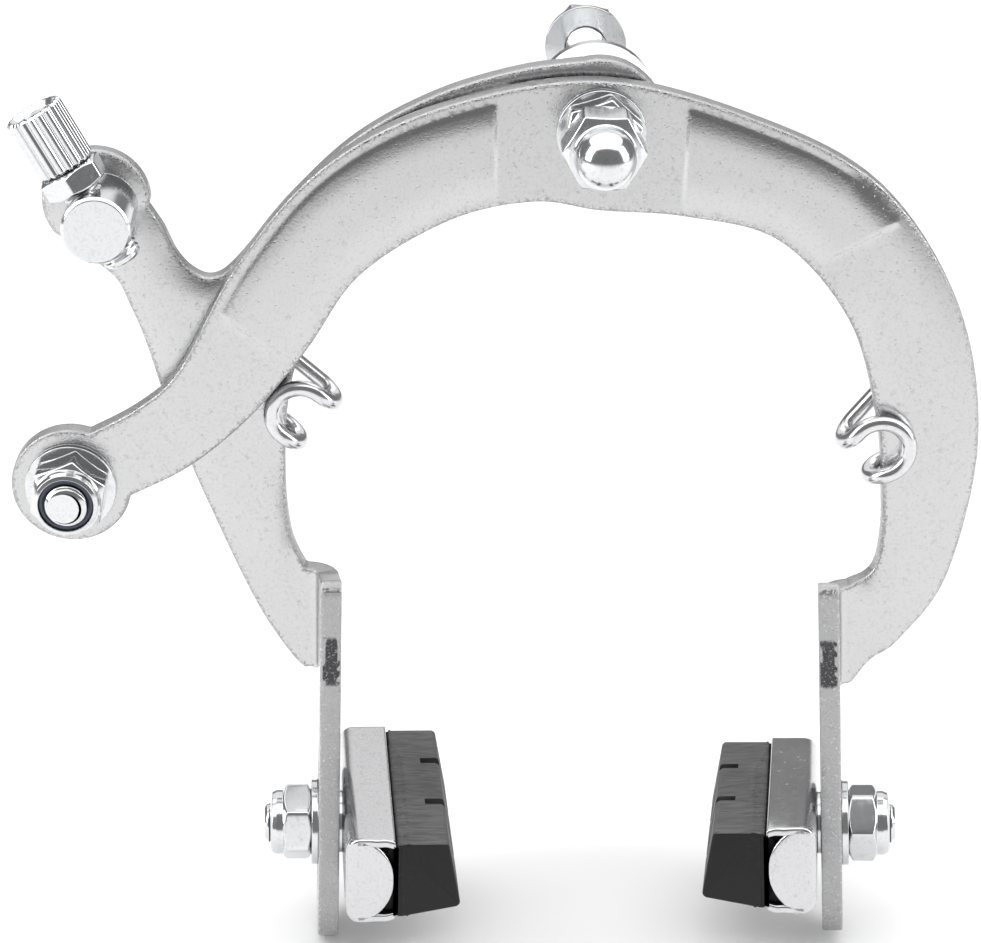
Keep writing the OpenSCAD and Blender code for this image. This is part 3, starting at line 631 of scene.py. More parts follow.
def drop(distance, radius):
    """Fall of a quarter round edge: R - sqrt(R^2 - (R - s)^2) at distance s from the outline."""
    s = np.clip(radius - distance, 0, radius)
    return radius - np.sqrt(np.maximum(radius ** 2 - s ** 2, 0))


# %% A net of triangles over the pattern
def spread_points(low, high, step):
    """Points of a triangular net over a rectangle."""
    x, z = np.meshgrid(np.arange(low[0], high[0], step), np.arange(low[1], high[1], step * 0.87))
    x = x + (np.arange(x.shape[0]) % 2)[:, None] * step / 2
    return np.stack([x.ravel(), z.ravel()], axis=1)


def fill(points, loops):
    """Triangles between points, kept where they lie inside the outer loop and outside holes."""
    edges = []
    start = 0
    for loop in loops:
        k = np.arange(len(loop))
        edges += np.stack([start + k, start + (k + 1) % len(loop)], axis=1).tolist()
        start += len(loop)
    found = delaunay_2d_cdt([Vector(p) for p in points.tolist()], edges, [], 0, 1e-6)
    back = np.array([ids[0] for ids in found[3]])
    triangles = back[np.array(found[2])]
    centre = points[triangles].mean(axis=1)
    keep = np.ones(len(centre), bool)
    for number, loop in enumerate(loops):
        keep &= reach_to(centre, loop)[1] == (number == 0)
    return triangles[keep]


# %% One arm from its pattern
ROUND = 0.45
BURR = 0.25
ROLL_WIDE, ROLL_DEEP = 4.6, 0.58


def rolled(u):
    """Depth of the die roll at an edge: full on the plate, none from the bend line on."""
    return ROLL_DEEP * smooth_rise(-u, 0, 3)


def pressed_arm(name, side, lines, holes, finish, body, node):
    """Both skins over one net of triangles, with the wall between them along each outline.

    Front = half the plate + panel - die roll * (1 - gap / ROLL_WIDE)^2 - rounded edge; back = minus
    half the plate + hollow + burr's edge; then both are folded. The points carry their distance
    from the edge, and the walls carry the painted dark reflection band under the bend."""
    first, last = lines
    outline = np.vstack([to_pattern(side, first), leg_line(side), to_pattern(side, last)])
    loops = [even(outline, 0.8)] + [even(h, 0.6) for h in holes]
    area = [0.5 * (l[:, 0] * np.roll(l[:, 1], -1) - l[:, 1] * np.roll(l[:, 0], -1)).sum()
            for l in loops]
    loops = [l if (a > 0) == (k == 0) else l[::-1] for k, (l, a) in enumerate(zip(loops, area))]
    inner = [offset(l, by) for l in loops for by in (0.03, 0.1, 0.2, 0.34, 0.5, 0.62)]
    low, high = loops[0].min(axis=0), loops[0].max(axis=0)

    def border(points):
        return np.min([np.abs(signed(points, l)) for l in loops], axis=0)

    def plate_of(points):
        flat = np.stack([points[:, 0], np.zeros(len(points)), points[:, 1]], axis=1)
        return LEG[side].on(flat)[:, [0, 2]]

    kept = []
    for step, fine in ((1.3, False), (0.4, True)):
        p = spread_points(low, high, step)
        p = p[reach_to(p, loops[0])[1]]
        p = p[border(p) > 0.8]
        for hole in loops[1:]:
            p = p[~reach_to(p, hole)[1]]
        near = np.abs(relief(side, plate_of(p), border(p))[2] - 0.9) < 1.4
        near |= (p[:, 0] > -0.6) & (p[:, 0] < bend_length(side) + 0.6)
        kept.append(p[near == fine])
    points = np.vstack(loops + inner + kept)
    triangles = fill(points, loops)
    gap = border(points)
    up, under, _ = relief(side, plate_of(points), gap)
    rim = np.abs(signed(points, loops[0]))
    roll = rolled(points[:, 0]) * np.clip(1 - rim / ROLL_WIDE, 0, 1) ** 2
    front = PLATE / 2 + up - roll - drop(gap, ROUND)
    back = -PLATE / 2 + under + drop(gap, BURR)
    u, v = points.T
    skins = [(fold(side, u, v, front), triangles), (fold(side, u, v, back), triangles[:, ::-1])]
    walls, marks, painted_reflection_bands = [], [gap, gap], [0 * gap, 0 * gap]
    for number, loop in enumerate(loops):
        t = np.linspace(0, 1, 5)[:, None]
        lip = PLATE / 2 - ROUND - rolled(loop[None, :, 0]) * (number == 0)
        n = lip * (1 - t) + (BURR - PLATE / 2) * t
        uu = np.repeat(loop[None, :, 0], 5, axis=0)
        vv = np.repeat(loop[None, :, 1], 5, axis=0)
        walls.append(grid(fold(side, uu, vv, n), around=True))
        marks.append(np.zeros(n.size))
        # Painted reflection: the leg's front edge is marked dark at the height where its curved
        # edge mirrors the dark room.
        shade = (loop[:, 0] > LEG_DEEP[side] - 2) * np.exp(-((loop[:, 1] - 30.2) / 4.0) ** 6)
        painted_reflection_bands.append(np.tile(shade, 5))
    return piece(name, skins + walls, body, "pressed_steel", finish, [node],
                 {"edge": np.concatenate(marks), "painted_reflection_band": np.concatenate(painted_reflection_bands)})


# %% Holes in the plate and the slot of a leg
def hole_in_plate(side, middle, radius):
    """A round hole's line, in the pattern."""
    return to_pattern(side, arc(middle, radius, 0, 345, 0.6))


def stud_slot(side):
    """The slot in a leg that the shoe's stud is moved in."""
    across = bend_length(side) + STUD_DEEP[side]
    return np.vstack([arc((across, 9), HOLE, 0, 180), arc((across, -8), HOLE, 180, 360)])


# %% [markdown]
# ## The finishes
#
# The steel is bright plated, but never a mirror: the plating has an orange peel skin, fine pits and
# dull spots, and it is speckled along the cut edges, where the plate was sheared before it was
# plated; these speckles are also darkened as a painted dark reflection. A picture of such a skin
# would repeat and would show where it is laid on, so it is noise that fills the space of the piece.
# The skin is bump of a few hundredths of a millimetre, and the speckles follow the distance from
# the edge that each arm carries. A painted dark reflection band lies on each leg's front edge under
# the bend.

# %% Bright plated steel
def part_of(colour, share):
    """The same colour with only a share of its light."""
    return tuple(share * c for c in colour)


def plated(name, colour, rough, peel=1.0, edges=False):
    """Metal with orange peel, pits and dull spots; arm edges get pits darkened as painted
    reflection, and a painted reflection band.
    """
    f = Finish(name, Metallic=1.0)
    skin = f.noise(2.8, 3, 0.65)
    fine = f.noise(8.0, 2, 0.5)
    cloud = f.noise(0.12, 3, 0.55)
    pits = f.cells(1.1).between(0.05, 0.16)
    height = skin * 0.6 + fine * 0.25
    dull = f.noise(0.9, 4, 0.65).between(0.56, 0.72)
    tone = f.mix(cloud, part_of(colour, 0.93), colour)
    tone = f.mix(dull * 0.35, tone, part_of(colour, 0.72))
    tone = f.mix(skin.between(0.5, 0.66) * 0.3, tone, part_of(colour, 0.6))
    gloss = cloud * 0.08 + dull * 0.12 + (rough - 0.06)
    if edges:
        edge = f.attribute("edge") * (1 / 1.6)
        # Near the arms' edges the speckles are pits in the plating, darkened further as a painted
        # dark reflection.
        pits_and_reflection_noise = f.noise(2.4, 5, 0.72)
        pitted_edge_and_painted_reflection = (pits_and_reflection_noise - edge * 0.42).between(0.36, 0.5)
        tone = f.mix(pitted_edge_and_painted_reflection * 0.38, tone, (0.16, 0.16, 0.165))
        # Painted reflection: the marked band on the leg's front edge is mixed almost black.
        painted_reflection_band = (f.attribute("painted_reflection_band") - pits_and_reflection_noise * 0.5).between(0.1, 0.4)
        painted_reflection_band = painted_reflection_band * (1 - f.noise(3.2, 4, 0.75).between(0.55, 0.62) * 0.7)
        tone = f.mix(painted_reflection_band * 0.9, tone, (0.03, 0.03, 0.033))
        gloss = gloss + pitted_edge_and_painted_reflection * 0.22
        height = height - pitted_edge_and_painted_reflection * 0.7
    height = height - (1 - pits) * 0.5
    normal = f.bump(height, 0.016 * peel, 0.8)
    return f.feeds(Base_Color=tone, Roughness=gloss, Normal=normal)


STEEL = plated("pressed_plated_steel", (0.57, 0.57, 0.575), 0.20, 3.0, edges=True)
FOLDED = plated("folded_plated_sheet", (0.62, 0.62, 0.63), 0.20, 0.9)
TURNED = plated("turned_plated_steel", (0.70, 0.71, 0.72), 0.16, 0.35)
WIRE = plated("drawn_plated_wire", (0.68, 0.68, 0.69), 0.20, 0.5)


# %% [markdown]
# ## Moulded rubber and nylon
#
# The blocks are pressed in a steel mould. Fresh rubber is satin, with a fine dull grain and dust in
# it, and it is rough where the flash was torn off. Its top is mixed lighter grey as painted light,
# with fine marks in streaks across the shoe, and faces that look to the front lose most of their
# torn grey as painted shade. Two rubbers could be put on chosen faces, but the change would then
# follow the faces' borders, so one rubber asks which way the surface looks. The nylon ring in a
# lock nut is a dark grey blue and slightly glossy.

# %% Rubber and nylon
def moulded_rubber():
    """Black rubber: grain all over, torn where marked rough, painted light on top with streaks,
    painted shade on front faces.
    """
    f = Finish("moulded_black_rubber", Metallic=0.0, Specular_IOR_Level=0.25)
    grain = f.noise(5.0, 3, 0.6)
    torn = f.noise(1.6, 4, 0.75)
    facing = f.node("ShaderNodeTexCoord", {}, {}, out="Normal")
    top = f.node("ShaderNodeSeparateXYZ", {}, {"Vector": facing}, out="Z").between(0.5, 0.9)
    # Painted shade: faces that look to the front lose most of their torn grey.
    front = f.node("ShaderNodeSeparateXYZ", {}, {"Vector": facing}, out="Y") * -1
    rough = f.attribute("rough") * (1 - front.between(0.5, 0.9) * 0.9)
    cloud = f.noise(0.15, 3, 0.6)
    streak = f.noise(2.2, 4, 0.65, (0.12, 1.0, 0.12)).between(0.35, 0.65)
    tone = f.mix(cloud, (0.010, 0.010, 0.011), (0.016, 0.016, 0.017))
    # Painted light: faces that look up are mixed lighter grey; the streaks across them are marks on
    # the rubber.
    tone = f.mix(top, tone, f.mix(streak, (0.055, 0.055, 0.057), (0.105, 0.105, 0.107)))
    tone = f.mix((torn.between(0.5, 0.68)) * rough * 0.55, tone, (0.16, 0.16, 0.155))
    height = grain * 0.25 + torn * rough * 1.6
    return f.feeds(Base_Color=tone, Roughness=cloud * 0.15 + rough * 0.2 + 0.42,
                   Normal=f.bump(height, 0.05, 0.7))


def nylon_blue():
    f = Finish("dark_blue_nylon", Metallic=0.0)
    cloud = f.noise(1.0, 2, 0.5)
    return f.feeds(Base_Color=f.mix(cloud, (0.05, 0.06, 0.085), (0.08, 0.095, 0.125)),
                   Roughness=cloud * 0.15 + 0.32, Normal=f.bump(cloud, 0.02, 0.4))


RUBBER = moulded_rubber()
NYLON = nylon_blue()


# %% Every solid gets its finish
NODE_FINISH = {"pressed_steel": STEEL, "holder_steel": FOLDED, "turned_steel": TURNED,
               "spring_wire": WIRE, "rubber": RUBBER, "nylon": NYLON}
for part in frame["record"]["subparts"]:
    solid = frame["nodes"][part["node"]]
    finish = NODE_FINISH[part["material_slot"]]
    if solid.material_slots:
        for held in solid.material_slots:
            held.material = finish
    else:
        solid.data.materials.append(finish)


# %% [markdown]
# ## Pressing the arms
#
# The rear arm carries the adjuster and the left leg, and the front arm carries the cable anchor
# and the right leg. One arm could be a mirrored copy, but the real two differ in outline, lean
# and panels, so both come from the same function with their own outlines and holes.

# %% Both arms
pressed_arm("rear_arm_pressed", "left", rear_line(),
            [hole_in_plate("left", (0, 0), HOLE), hole_in_plate("left", EAR, 2.56),
             stud_slot("left")], STEEL, "rear_arm", "rear_arm")
pressed_arm("front_arm_pressed", "right", front_line(),
            [hole_in_plate("right", (0, 0), HOLE), hole_in_plate("right", ANCHOR, HOLE),
             stud_slot("right")], STEEL, "front_arm", "front_arm")


# %% [markdown]
# ## The return spring
#
# One piece of hard wire runs through a cross hole in the boss, down behind both arms, round each
# arm's inner edge to the front, and ends in an open hook that grips the arm from behind. The
# surface is a circle carried along that path. A curve object with a bevel would look the same, but
# its ends stay flat and it can't bend between two bodies. The circle's frame is passed on from
# point to point with as little turning as possible, so that the wire doesn't twist. A spring bends
# when the brake closes, so it is made as two halves that meet inside the boss.

# %% A wire carried along a path
def bent_corners(points, radius, steps=6):
    """Each corner of the path becomes an arc, as a wire is bent over a pin."""
    out = [points[0]]
    for a, p, b in zip(points[:-2], points[1:-1], points[2:]):
        d1, d2 = (p - a) / np.linalg.norm(p - a), (b - p) / np.linalg.norm(b - p)
        angle = math.acos(np.clip(d1 @ d2, -1, 1))
        side = (d2 - d1) / np.linalg.norm(d2 - d1)
        middle = p + side * radius / math.cos(angle / 2)
        start = p - d1 * radius * math.tan(angle / 2)
        for f in np.linspace(0, angle, steps + 1):
            out.append(middle + (start - middle) * math.cos(f) + d1 * radius * math.sin(f))
    return out + [points[-1]]


def swept_wire(path, radius, sides=20):
    """Point = path + r (cos t * across + sin t * other); round caps close both ends."""
    p = np.array(path)
    step = np.gradient(p, axis=0)
    step /= np.linalg.norm(step, axis=1)[:, None]
    across = np.zeros_like(p)
    last = np.array([0.0, 0.0, 1.0])
    for k, d in enumerate(step):
        last = last - (last @ d) * d
        last /= np.linalg.norm(last)
        across[k] = last
    other = np.cross(step, across)
    cap = np.radians([0, 22, 45, 67, 84])
    rows = [p[0] - step[0] * radius * math.sin(a) for a in cap[::-1]] + list(p[1:-1]) \
        + [p[-1] + step[-1] * radius * math.sin(a) for a in cap]
    size = [radius * math.cos(a) for a in cap[::-1]] + [radius] * (len(p) - 2) \
        + [radius * math.cos(a) for a in cap]
    pick = [0] * len(cap) + list(range(1, len(p) - 1)) + [len(p) - 1] * len(cap)
    rows, size = np.array(rows), np.array(size)[:, None, None]
    t = np.linspace(0, 2 * math.pi, sides, endpoint=False)[None, :, None]
    points = rows[:, None, :] + size * (np.cos(t) * across[pick][:, None, :]
                                        + np.sin(t) * other[pick][:, None, :])
    vertices, quads = grid(points, around=True)
    ends = [list(range(sides))[::-1], [len(vertices) - sides + k for k in range(sides)]]
    return vertices, quads.tolist() + ends


# %% The spring's path
HOOK = {"left": ((-41.9, -42.2), -42.0, 184.0), "right": ((40.2, -46.4), -129.0, 208.0)}
WIRE_R, WIRE_GAP, HOOK_R = 1.15, 0.25, 4.1


def spring_half(side):
    """Middle of the boss, shoulder, straight run behind the arm, turn to the front, hook."""
    s = -1 if side == "left" else 1
    (hx, hz), leave, sweep = HOOK[side]
    back = FACE[side] + PLATE + WIRE_R + WIRE_GAP
    front = FACE[side] - WIRE_R - WIRE_GAP
    half = (back - front) / 2

    def bow(degrees):
        a = math.radians(leave - 90 * s + degrees)
        return np.array([hx + HOOK_R * math.cos(a), hz + HOOK_R * math.sin(a)])

    def at(q, y):
        return np.array([q[0], y, q[1]])

    out = np.array([math.cos(math.radians(leave)), math.sin(math.radians(leave))])
    start, end = bow(0), bow(-s * sweep)
    a = math.radians(leave - 90 * s - s * sweep)
    home = -s * np.array([-math.sin(a), math.cos(a)])
    run = [np.array([s * 1.0, -4.9, -4.9]), np.array([s * 13.0, -4.9, -4.9]),
           np.array([s * 34.0, back, -12.5]), at(start - 9.5 * out, back), at(start, back)]
    path = bent_corners(run, 5, 8)
    f = np.radians(np.arange(12, 180, 12))
    path += [at(start + half * math.sin(g) * out, back - half * (1 - math.cos(g))) for g in f]
    path += [at(bow(-s * sweep * k / 24), front) for k in range(25)]
    path += [at(end + half * math.sin(g) * home, front + half * (1 - math.cos(g)))
             for g in np.radians(np.arange(12, 181, 12))]
    return path + [at(end - 3 * home, back), at(end - 6 * home, back)]


length = 0
for side, arm in (("left", "rear_arm"), ("right", "front_arm")):
    s = -1 if side == "left" else 1
    path = [np.array([0.0, -4.9, -4.9])] + spring_half(side)
    length += sum(np.linalg.norm(b - a) for a, b in zip(path[:-1], path[1:]))
    half = piece(f"return_spring_{side}_half", [swept_wire(path, WIRE_R)], None,
                 "spring_wire", WIRE, ["return_spring"])
    s * 13.0 * MM
    s * 36.0 * MM
    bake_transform(half)
print(f"spring wire: {length:.0f} mm long")


# %% [markdown]
# ## Bolts, nuts and washers
#
# The hardware is turned or forged, then plated. A turned surface has two parameters, the angle
# and the place along a profile, so each nut, bolt and washer is one profile and, where it isn't
# round, one formula for the radius. Cylinders cut by other solids would leave ragged edges
# where they meet. Threads are cut into the rods that can be seen.

# %% Dressing one solid
SLOT = {part["node"]: part["material_slot"] for part in frame["record"]["subparts"]}
BODY = {node: body for body, nodes in frame["record"]["behaviour"]["bodies"].items()
        for node in nodes}


def dress(node, parts, marks=None, word="turned"):
    """A piece that takes the place of the solid of that name, on its body and with its slot's
    finish.
    """
    slot = SLOT[node]
    return piece(f"{node}_{word}", parts, BODY[node], slot, NODE_FINISH[slot], [node], marks)


# %% Lock nuts and washers
def lock_nut_profile(flats=FLATS, height=4.2, collar=4.75, collar_high=1.8, hole=3.05):
    """Nut, then a rolled collar with a narrower mouth over the seat of the nylon ring."""
    corner = flats / 2 / math.cos(math.pi / 6)
    rise = (corner - 0.475 * flats) * math.tan(math.pi / 6)
    top = height + collar_high
    line = [[hole, 2.0], [hole, 0.4], [hole + 0.4, 0], [0.475 * flats, 0], [corner, rise],
            [corner, height - rise - 0.1], [collar, height - 0.05], [collar, top - 0.9],
            [collar - 0.25, top - 0.3], [collar - 0.8, top], [3.86, top - 0.12],
            [3.86, height - 0.2], [hole, height - 0.2], [hole, 2.0]]
    return resample(soften(line, 0.14), 0.16)


def lock_nut(name, ring, place, twist):
    """A lock nut and its nylon ring, whose inner edge is pressed round by the thread."""
    dress(name, [round_axis(place, lock_nut_profile(), HEX_SIDES, hexagon(FLATS, twist))])
    nylon = resample(soften([[3.05, 4.8], [3.05, 4.0], [3.8, 4.0], [3.8, 5.55], [3.35, 5.6],
                             [3.05, 5.3], [3.05, 4.8]], 0.12), 0.4)
    dress(ring, [round_axis(place, nylon, 72)], word="moulded")


def washer(name, place, radius, hole=HOLE, thick=1.0):
    dress(name, [round_axis(place, ring_profile(radius, hole, thick), RING_SIDES)], word="stamped")


# %% Hardware on the centre bolt
BOSS = [[0, 0], [7.9, 0], [8.4, 0.5], [8.4, 2.2], [7.9, 2.7], [7, 3.6], [7, 6.4], [7.5, 7],
        [7.5, 8.6], [7.1, 9], [0, 9]]
dress("centre_bolt", [
    round_axis(along_front(0), resample(soften(BOSS, 0.18), 0.8), RING_SIDES),
    round_axis(along_front(-8), rod_profile(ROD, 21.2, 0.6, 0.6), 48),
    round_axis(along_back(-1), rod_profile(ROD, 35.9, 0.6, 0.12), ROD_SIDES,
               thread(*M6, 8.0, 35.0))])
for node, depth in (("rear_pivot_washer", -9.0), ("middle_pivot_washer", -13.0),
                    ("front_pivot_washer", -17.0)):
    washer(node, along_front(depth), WASHER_R)
dress("pivot_jam_nut", [round_axis(along_front(-18.0), nut_profile(FLATS, 3.2, 3.05), HEX_SIDES,
                                   hexagon(FLATS, 47))])
CORNER = FLATS / 2 / math.cos(math.pi / 6)
RISE = (CORNER - 4.75) * math.tan(math.pi / 6)
DOME = [[4.1 * math.cos(a), 7.8 + 4.1 * math.sin(a)] for a in np.radians(np.arange(0, 91, 5))]
ACORN = [[0, 0], [4.75, 0], [CORNER, RISE], [CORNER, 6 - RISE], [4.75, 6.0], [4.25, 6.1],
         [4.1, 6.4]]
dress("pivot_acorn_nut", [round_axis(
    along_front(-21.2), np.vstack([resample(soften(ACORN, 0.14), 0.16), DOME]), HEX_SIDES,
    hexagon(FLATS, 28))])
washer("mount_washer", along_front(27.5), WASHER_R)
lock_nut("mount_nut", "mount_nut_insert", along_back(27.5), 38)


# %% Cable anchor
dress("anchor_bolt", [
    round_axis(along_front(-8.4, ANCHOR), resample(soften(
        [[0, 0], [4.75, 0], [CORNER, RISE], [CORNER, 4 - RISE], [4.75, 4], [0, 4]], 0.14), 0.3),
        HEX_SIDES, hexagon(FLATS, 30)),
    round_axis(along_front(-11.4, ANCHOR), rod_profile(ROD, 13.5, 0.5, 0.12), ROD_SIDES,
               thread(*M6, 6.0, 14.5))])
washer("pinch_washer", along_front(-12.4, ANCHOR), 6.45, thick=1.6)
washer("anchor_washer", along_front(-17.0, ANCHOR), 6.45)
lock_nut("anchor_nut", "anchor_nut_insert", along_front(-18.0, ANCHOR), 50)


# %% Swivel, barrel and its lock nut
def flutes(count, crest, deep, wide):
    """Radius less a round groove of depth deep at each of count places round the head."""
    def shape(t, r, h):
        away = (t * count / (2 * math.pi) + 0.5) % 1 - 0.5
        arc_mm = away * 2 * math.pi * crest / count
        groove = deep * np.exp(-(arc_mm / wide) ** 2)
        return np.where((r > crest - 0.45) & (h > 8), r - groove, r)
    return shape


def barrel_shape(t, r, h):
    """Flutes on the head, thread on the stem."""
    r = flutes(18, 4.1, 0.34, 0.30)(t, r, h)
    cut = thread(*BARREL_THREAD, -6.4, 8.2)(t, r, h)
    return np.where(h < 8.4, cut, r)


BARREL_LINE = [[1.0, 0], [1.0, -6.65], [2.3, -6.65], [2.8, -6.1], [2.8, 8.3], [2.8, 8.55],
               [3.75, 8.55], [4.1, 8.9], [4.1, 17.0], [3.8, 17.35], [3.45, 17.35],
               [2.85, 16.6], [2.8, 16.2], [2.8, 10.15], [1.0, 10.15], [1.0, 0]]
dress("adjuster_barrel", [round_axis(BARREL, resample(soften(BARREL_LINE, 0.12), 0.16), 216,
                                     barrel_shape)])
dress("adjuster_locknut", [round_axis(BARREL.shift(z=5.25), nut_profile(8.2, 3.1, 2.86), HEX_SIDES,
                                      hexagon(8.2, 60))])
SWIVEL_LINE = [[0, 0], [4.75, 0], [4.75, 10.4], [4.35, 10.8], [0, 10.8]]
dress("adjuster_swivel", [
    round_axis(along_front(-13.0, EAR), resample(soften(SWIVEL_LINE, 0.22), 0.8), RING_SIDES),
    round_axis(along_back(-13.5, EAR), rod_profile(2.5, 9.5, 0.5, 0.14), 48,
               thread(*M5, 4.8, 10.0))])
washer("swivel_washer", along_front(-9.0, EAR), 5.15, 2.55)
dress("swivel_nut", [round_axis(along_front(-5.0, EAR), nut_profile(8.0, 4.0, 2.55), HEX_SIDES,
                                hexagon(8.0, 30))])


# %% Studs, washers and nuts of both shoes
COLLAR = 0.6
for side, twist in (("left", 43), ("right", 13)):
    stem = SHOE[side].shift(x=2.3).turned("y", -90)
    head = SHOE[side].shift(x=1.8).turned("y", 90)
    dress(f"{side}_shoe_stud", [
        round_axis(stem, rod_profile(ROD, 13.1, 0.6, 0.12), ROD_SIDES, thread(*M6, 3, 13)),
        round_axis(head, rod_profile(4.4, 1.3, 0.2), ROD_SIDES),
        round_axis(SHOE[side].turned("y", 90), rod_profile(4.6, COLLAR, 0.1), ROD_SIDES)])
    outer = STUD[side].shift(x=-PLATE).turned("y", -90)
    washer(f"{side}_shoe_washer", outer, 6.25)
    lock_nut(f"{side}_shoe_nut", f"{side}_nut_insert", outer.shift(z=1.0), twist)


# %% [markdown]
# ## Shoe holders
#
# A holder is one piece of 1.2 mm sheet. Two folds make a channel that grips the rubber, and a
# round tab at the front is folded across its end so that the rubber can't slide out when the
# wheel drags it forwards. A Solidify modifier would thicken a folded plane, but its edges are
# square, and light on a sheet shows mostly at its edges. So the sheet is a surface over (way
# round the section, way along the shoe), with a thickness that fades into round edges. The
# folding leaves the walls' front corners a little curled.

# %% A sheet with round edges
SHEET, HOLDER_HIGH, HOLDER_DEEP, SHOE_LONG = 1.2, 13.0, 7.0, 39.0
BACK_R, TAB_R = 2.0, 1.5


def folded_sheet(on, first, second, thick, edge):
    """Both skins over the two ways, and the strip between them that runs round the border."""
    u, v = np.meshgrid(first, second, indexing="ij")
    gap = np.minimum(np.minimum(u - first[0], first[-1] - u),
                     np.minimum(v - second[0], second[-1] - v))
    half = thick / 2 - drop(gap, edge)
    skins = [grid(on(u, v, half)), grid(on(u, v, -half))]
    ring = np.concatenate([
        np.stack([first, np.full(len(first), second[0])], axis=1)[:-1],
        np.stack([np.full(len(second), first[-1]), second], axis=1)[:-1],
        np.stack([first, np.full(len(first), second[-1])], axis=1)[:0:-1],
        np.stack([np.full(len(second), first[0]), second], axis=1)[:0:-1]])
    n = np.linspace(thick / 2 - edge, edge - thick / 2, 3)[:, None] * np.ones(len(ring))
    strip = grid(on(np.tile(ring[:, 0], (3, 1)), np.tile(ring[:, 1], (3, 1)), n), around=True)
    return skins + [strip]


def close_at_ends(start, end, step, fine=(0, 0.03, 0.09, 0.18, 0.3, 0.5)):
    """Values from start to end, step apart, with closer ones near both ends."""
    fine = np.array(fine)
    middle = np.linspace(start + 0.8, end - 0.8, max(2, round((end - start - 1.6) / step)))
    return np.concatenate([start + fine, middle, end - fine[::-1]])


# %% The channel and its tab
def channel_section():
    """Middle line of the sheet: lip, wall, round corner, back, round corner, wall, lip."""
    high, r = HOLDER_HIGH / 2 - SHEET / 2, BACK_R - SHEET / 2
    line = np.vstack([[(HOLDER_DEEP, high)], arc((BACK_R, high - r), r, 90, 180, 0.2),
                      arc((BACK_R, r - high), r, 180, 270, 0.2), [(HOLDER_DEEP, -high)]])
    return resample(line, 0.25)


def channel(place):
    """Point = middle line + n * normal, at y; the back ends where the tab's bend begins."""
    line = channel_section()
    way = np.concatenate([[0], np.cumsum(np.linalg.norm(np.diff(line, axis=0), axis=1))])
    slope = np.gradient(line, way, axis=0)
    normal = np.stack([slope[:, 1], -slope[:, 0]], axis=1)
    normal /= np.linalg.norm(normal, axis=1)[:, None]
    start = -SHOE_LONG / 2

    def on(u, v, n):
        x, z = (np.interp(u, way, line[:, k]) + n * np.interp(u, way, normal[:, k])
                for k in (0, 1))
        late = TAB_R * smooth_rise(-x, -1.4, -0.6)
        y = v + late * (SHOE_LONG / 2 - v) / SHOE_LONG
        curl = smooth_rise(x, 3.0, 7.0) * np.exp(-(v - start) / 1.3)
        z = z - np.sign(z) * 0.5 * curl * (0.6 + 0.4 * np.cos(1.7 * x))
        return place.on(np.stack([x, y, z], axis=-1))

    return folded_sheet(on, close_at_ends(0, way[-1], 0.25), close_at_ends(start, -start, 0.9),
                        SHEET, 0.35)


# %% The tab across the front
def tab(place):
    """Half disc across the channel's front, bent from the back with a radius of TAB_R.

    Radius at angle a: the smallest of the disc's, the wall's height over sin a, and the way to
    the round corner, (2 c + k s) + sqrt((2 c + k s)^2 - k^2) with k the corner's height."""
    a = np.radians(np.linspace(-90, 90, 73))[None, :]
    s, c = np.abs(np.sin(a)), np.cos(a)
    k = HOLDER_HIGH / 2 - BACK_R
    b = BACK_R * c + k * s
    corner = b + np.sqrt(np.maximum(b * b - k * k, 0))
    wall = HOLDER_HIGH / 2 / np.maximum(s, 1e-3)
    rim = np.minimum(HOLDER_DEEP, np.where(wall * c > BACK_R, wall, corner))
    inner = np.array([0, 0.2, 0.4, 0.7, 1.0, 1.4, 1.9, 2.6, 3.4, 4.2, 5.0, 5.8])[:, None]
    flat = np.minimum(inner, 5.8) / 6.55 * (rim - 0.45)
    edge = [(0.45, 0), (0.25, 0.04), (0.09, 0.16), (0.0, 0.4), (0.0, 0.8), (0.09, 1.04),
            (0.25, 1.16), (0.45, 1.2)]
    r = np.vstack([flat] + [rim - inset for inset, _ in edge] + [flat[::-1]])
    deep = np.concatenate([np.zeros(len(flat)), [y for _, y in edge], np.full(len(flat), SHEET)])
    x, z = r * c, r * np.sin(a)
    y = -SHOE_LONG / 2 + deep[:, None] + drop(x, TAB_R) + 0 * x
    points, quads = grid(np.stack([x, y, z], axis=-1))
    rows, columns = r.shape
    back = [row * columns for row in range(rows)] \
        + [row * columns + columns - 1 for row in range(rows)][::-1]
    return place.on(points), quads.tolist() + [back]


for side in ("left", "right"):
    home = SHOE[side].shift(x=COLLAR)
    dress(f"{side}_shoe_holder", channel(home) + [tab(home)], word="folded")


# %% [markdown]
# ## Rubber blocks
#
# The block is moulded in one piece: a base that fills the channel, and a wedge that stands out
# of it and meets the rim, with two slots that let water out. It is a section carried along the
# shoe. A Boolean could cut the slots, but its thin faces shade badly. Here the section is cut
# back where a slot crosses it and shrinks a little at both ends, which rounds the edges. A band
# next to the holder is left rough by the mould, and its border carries a torn flash.

# %% Block as a carried section
BLOCK_HIGH, BLOCK_REACH, CANT, SLOT_WIDE, SLOT_DEEP = 11.6, 15.2, 1.7, 1.8, 2.8
SLOTS = (-0.144 * SHOE_LONG, 0.213 * SHOE_LONG)
LIP = COLLAR + HOLDER_DEEP


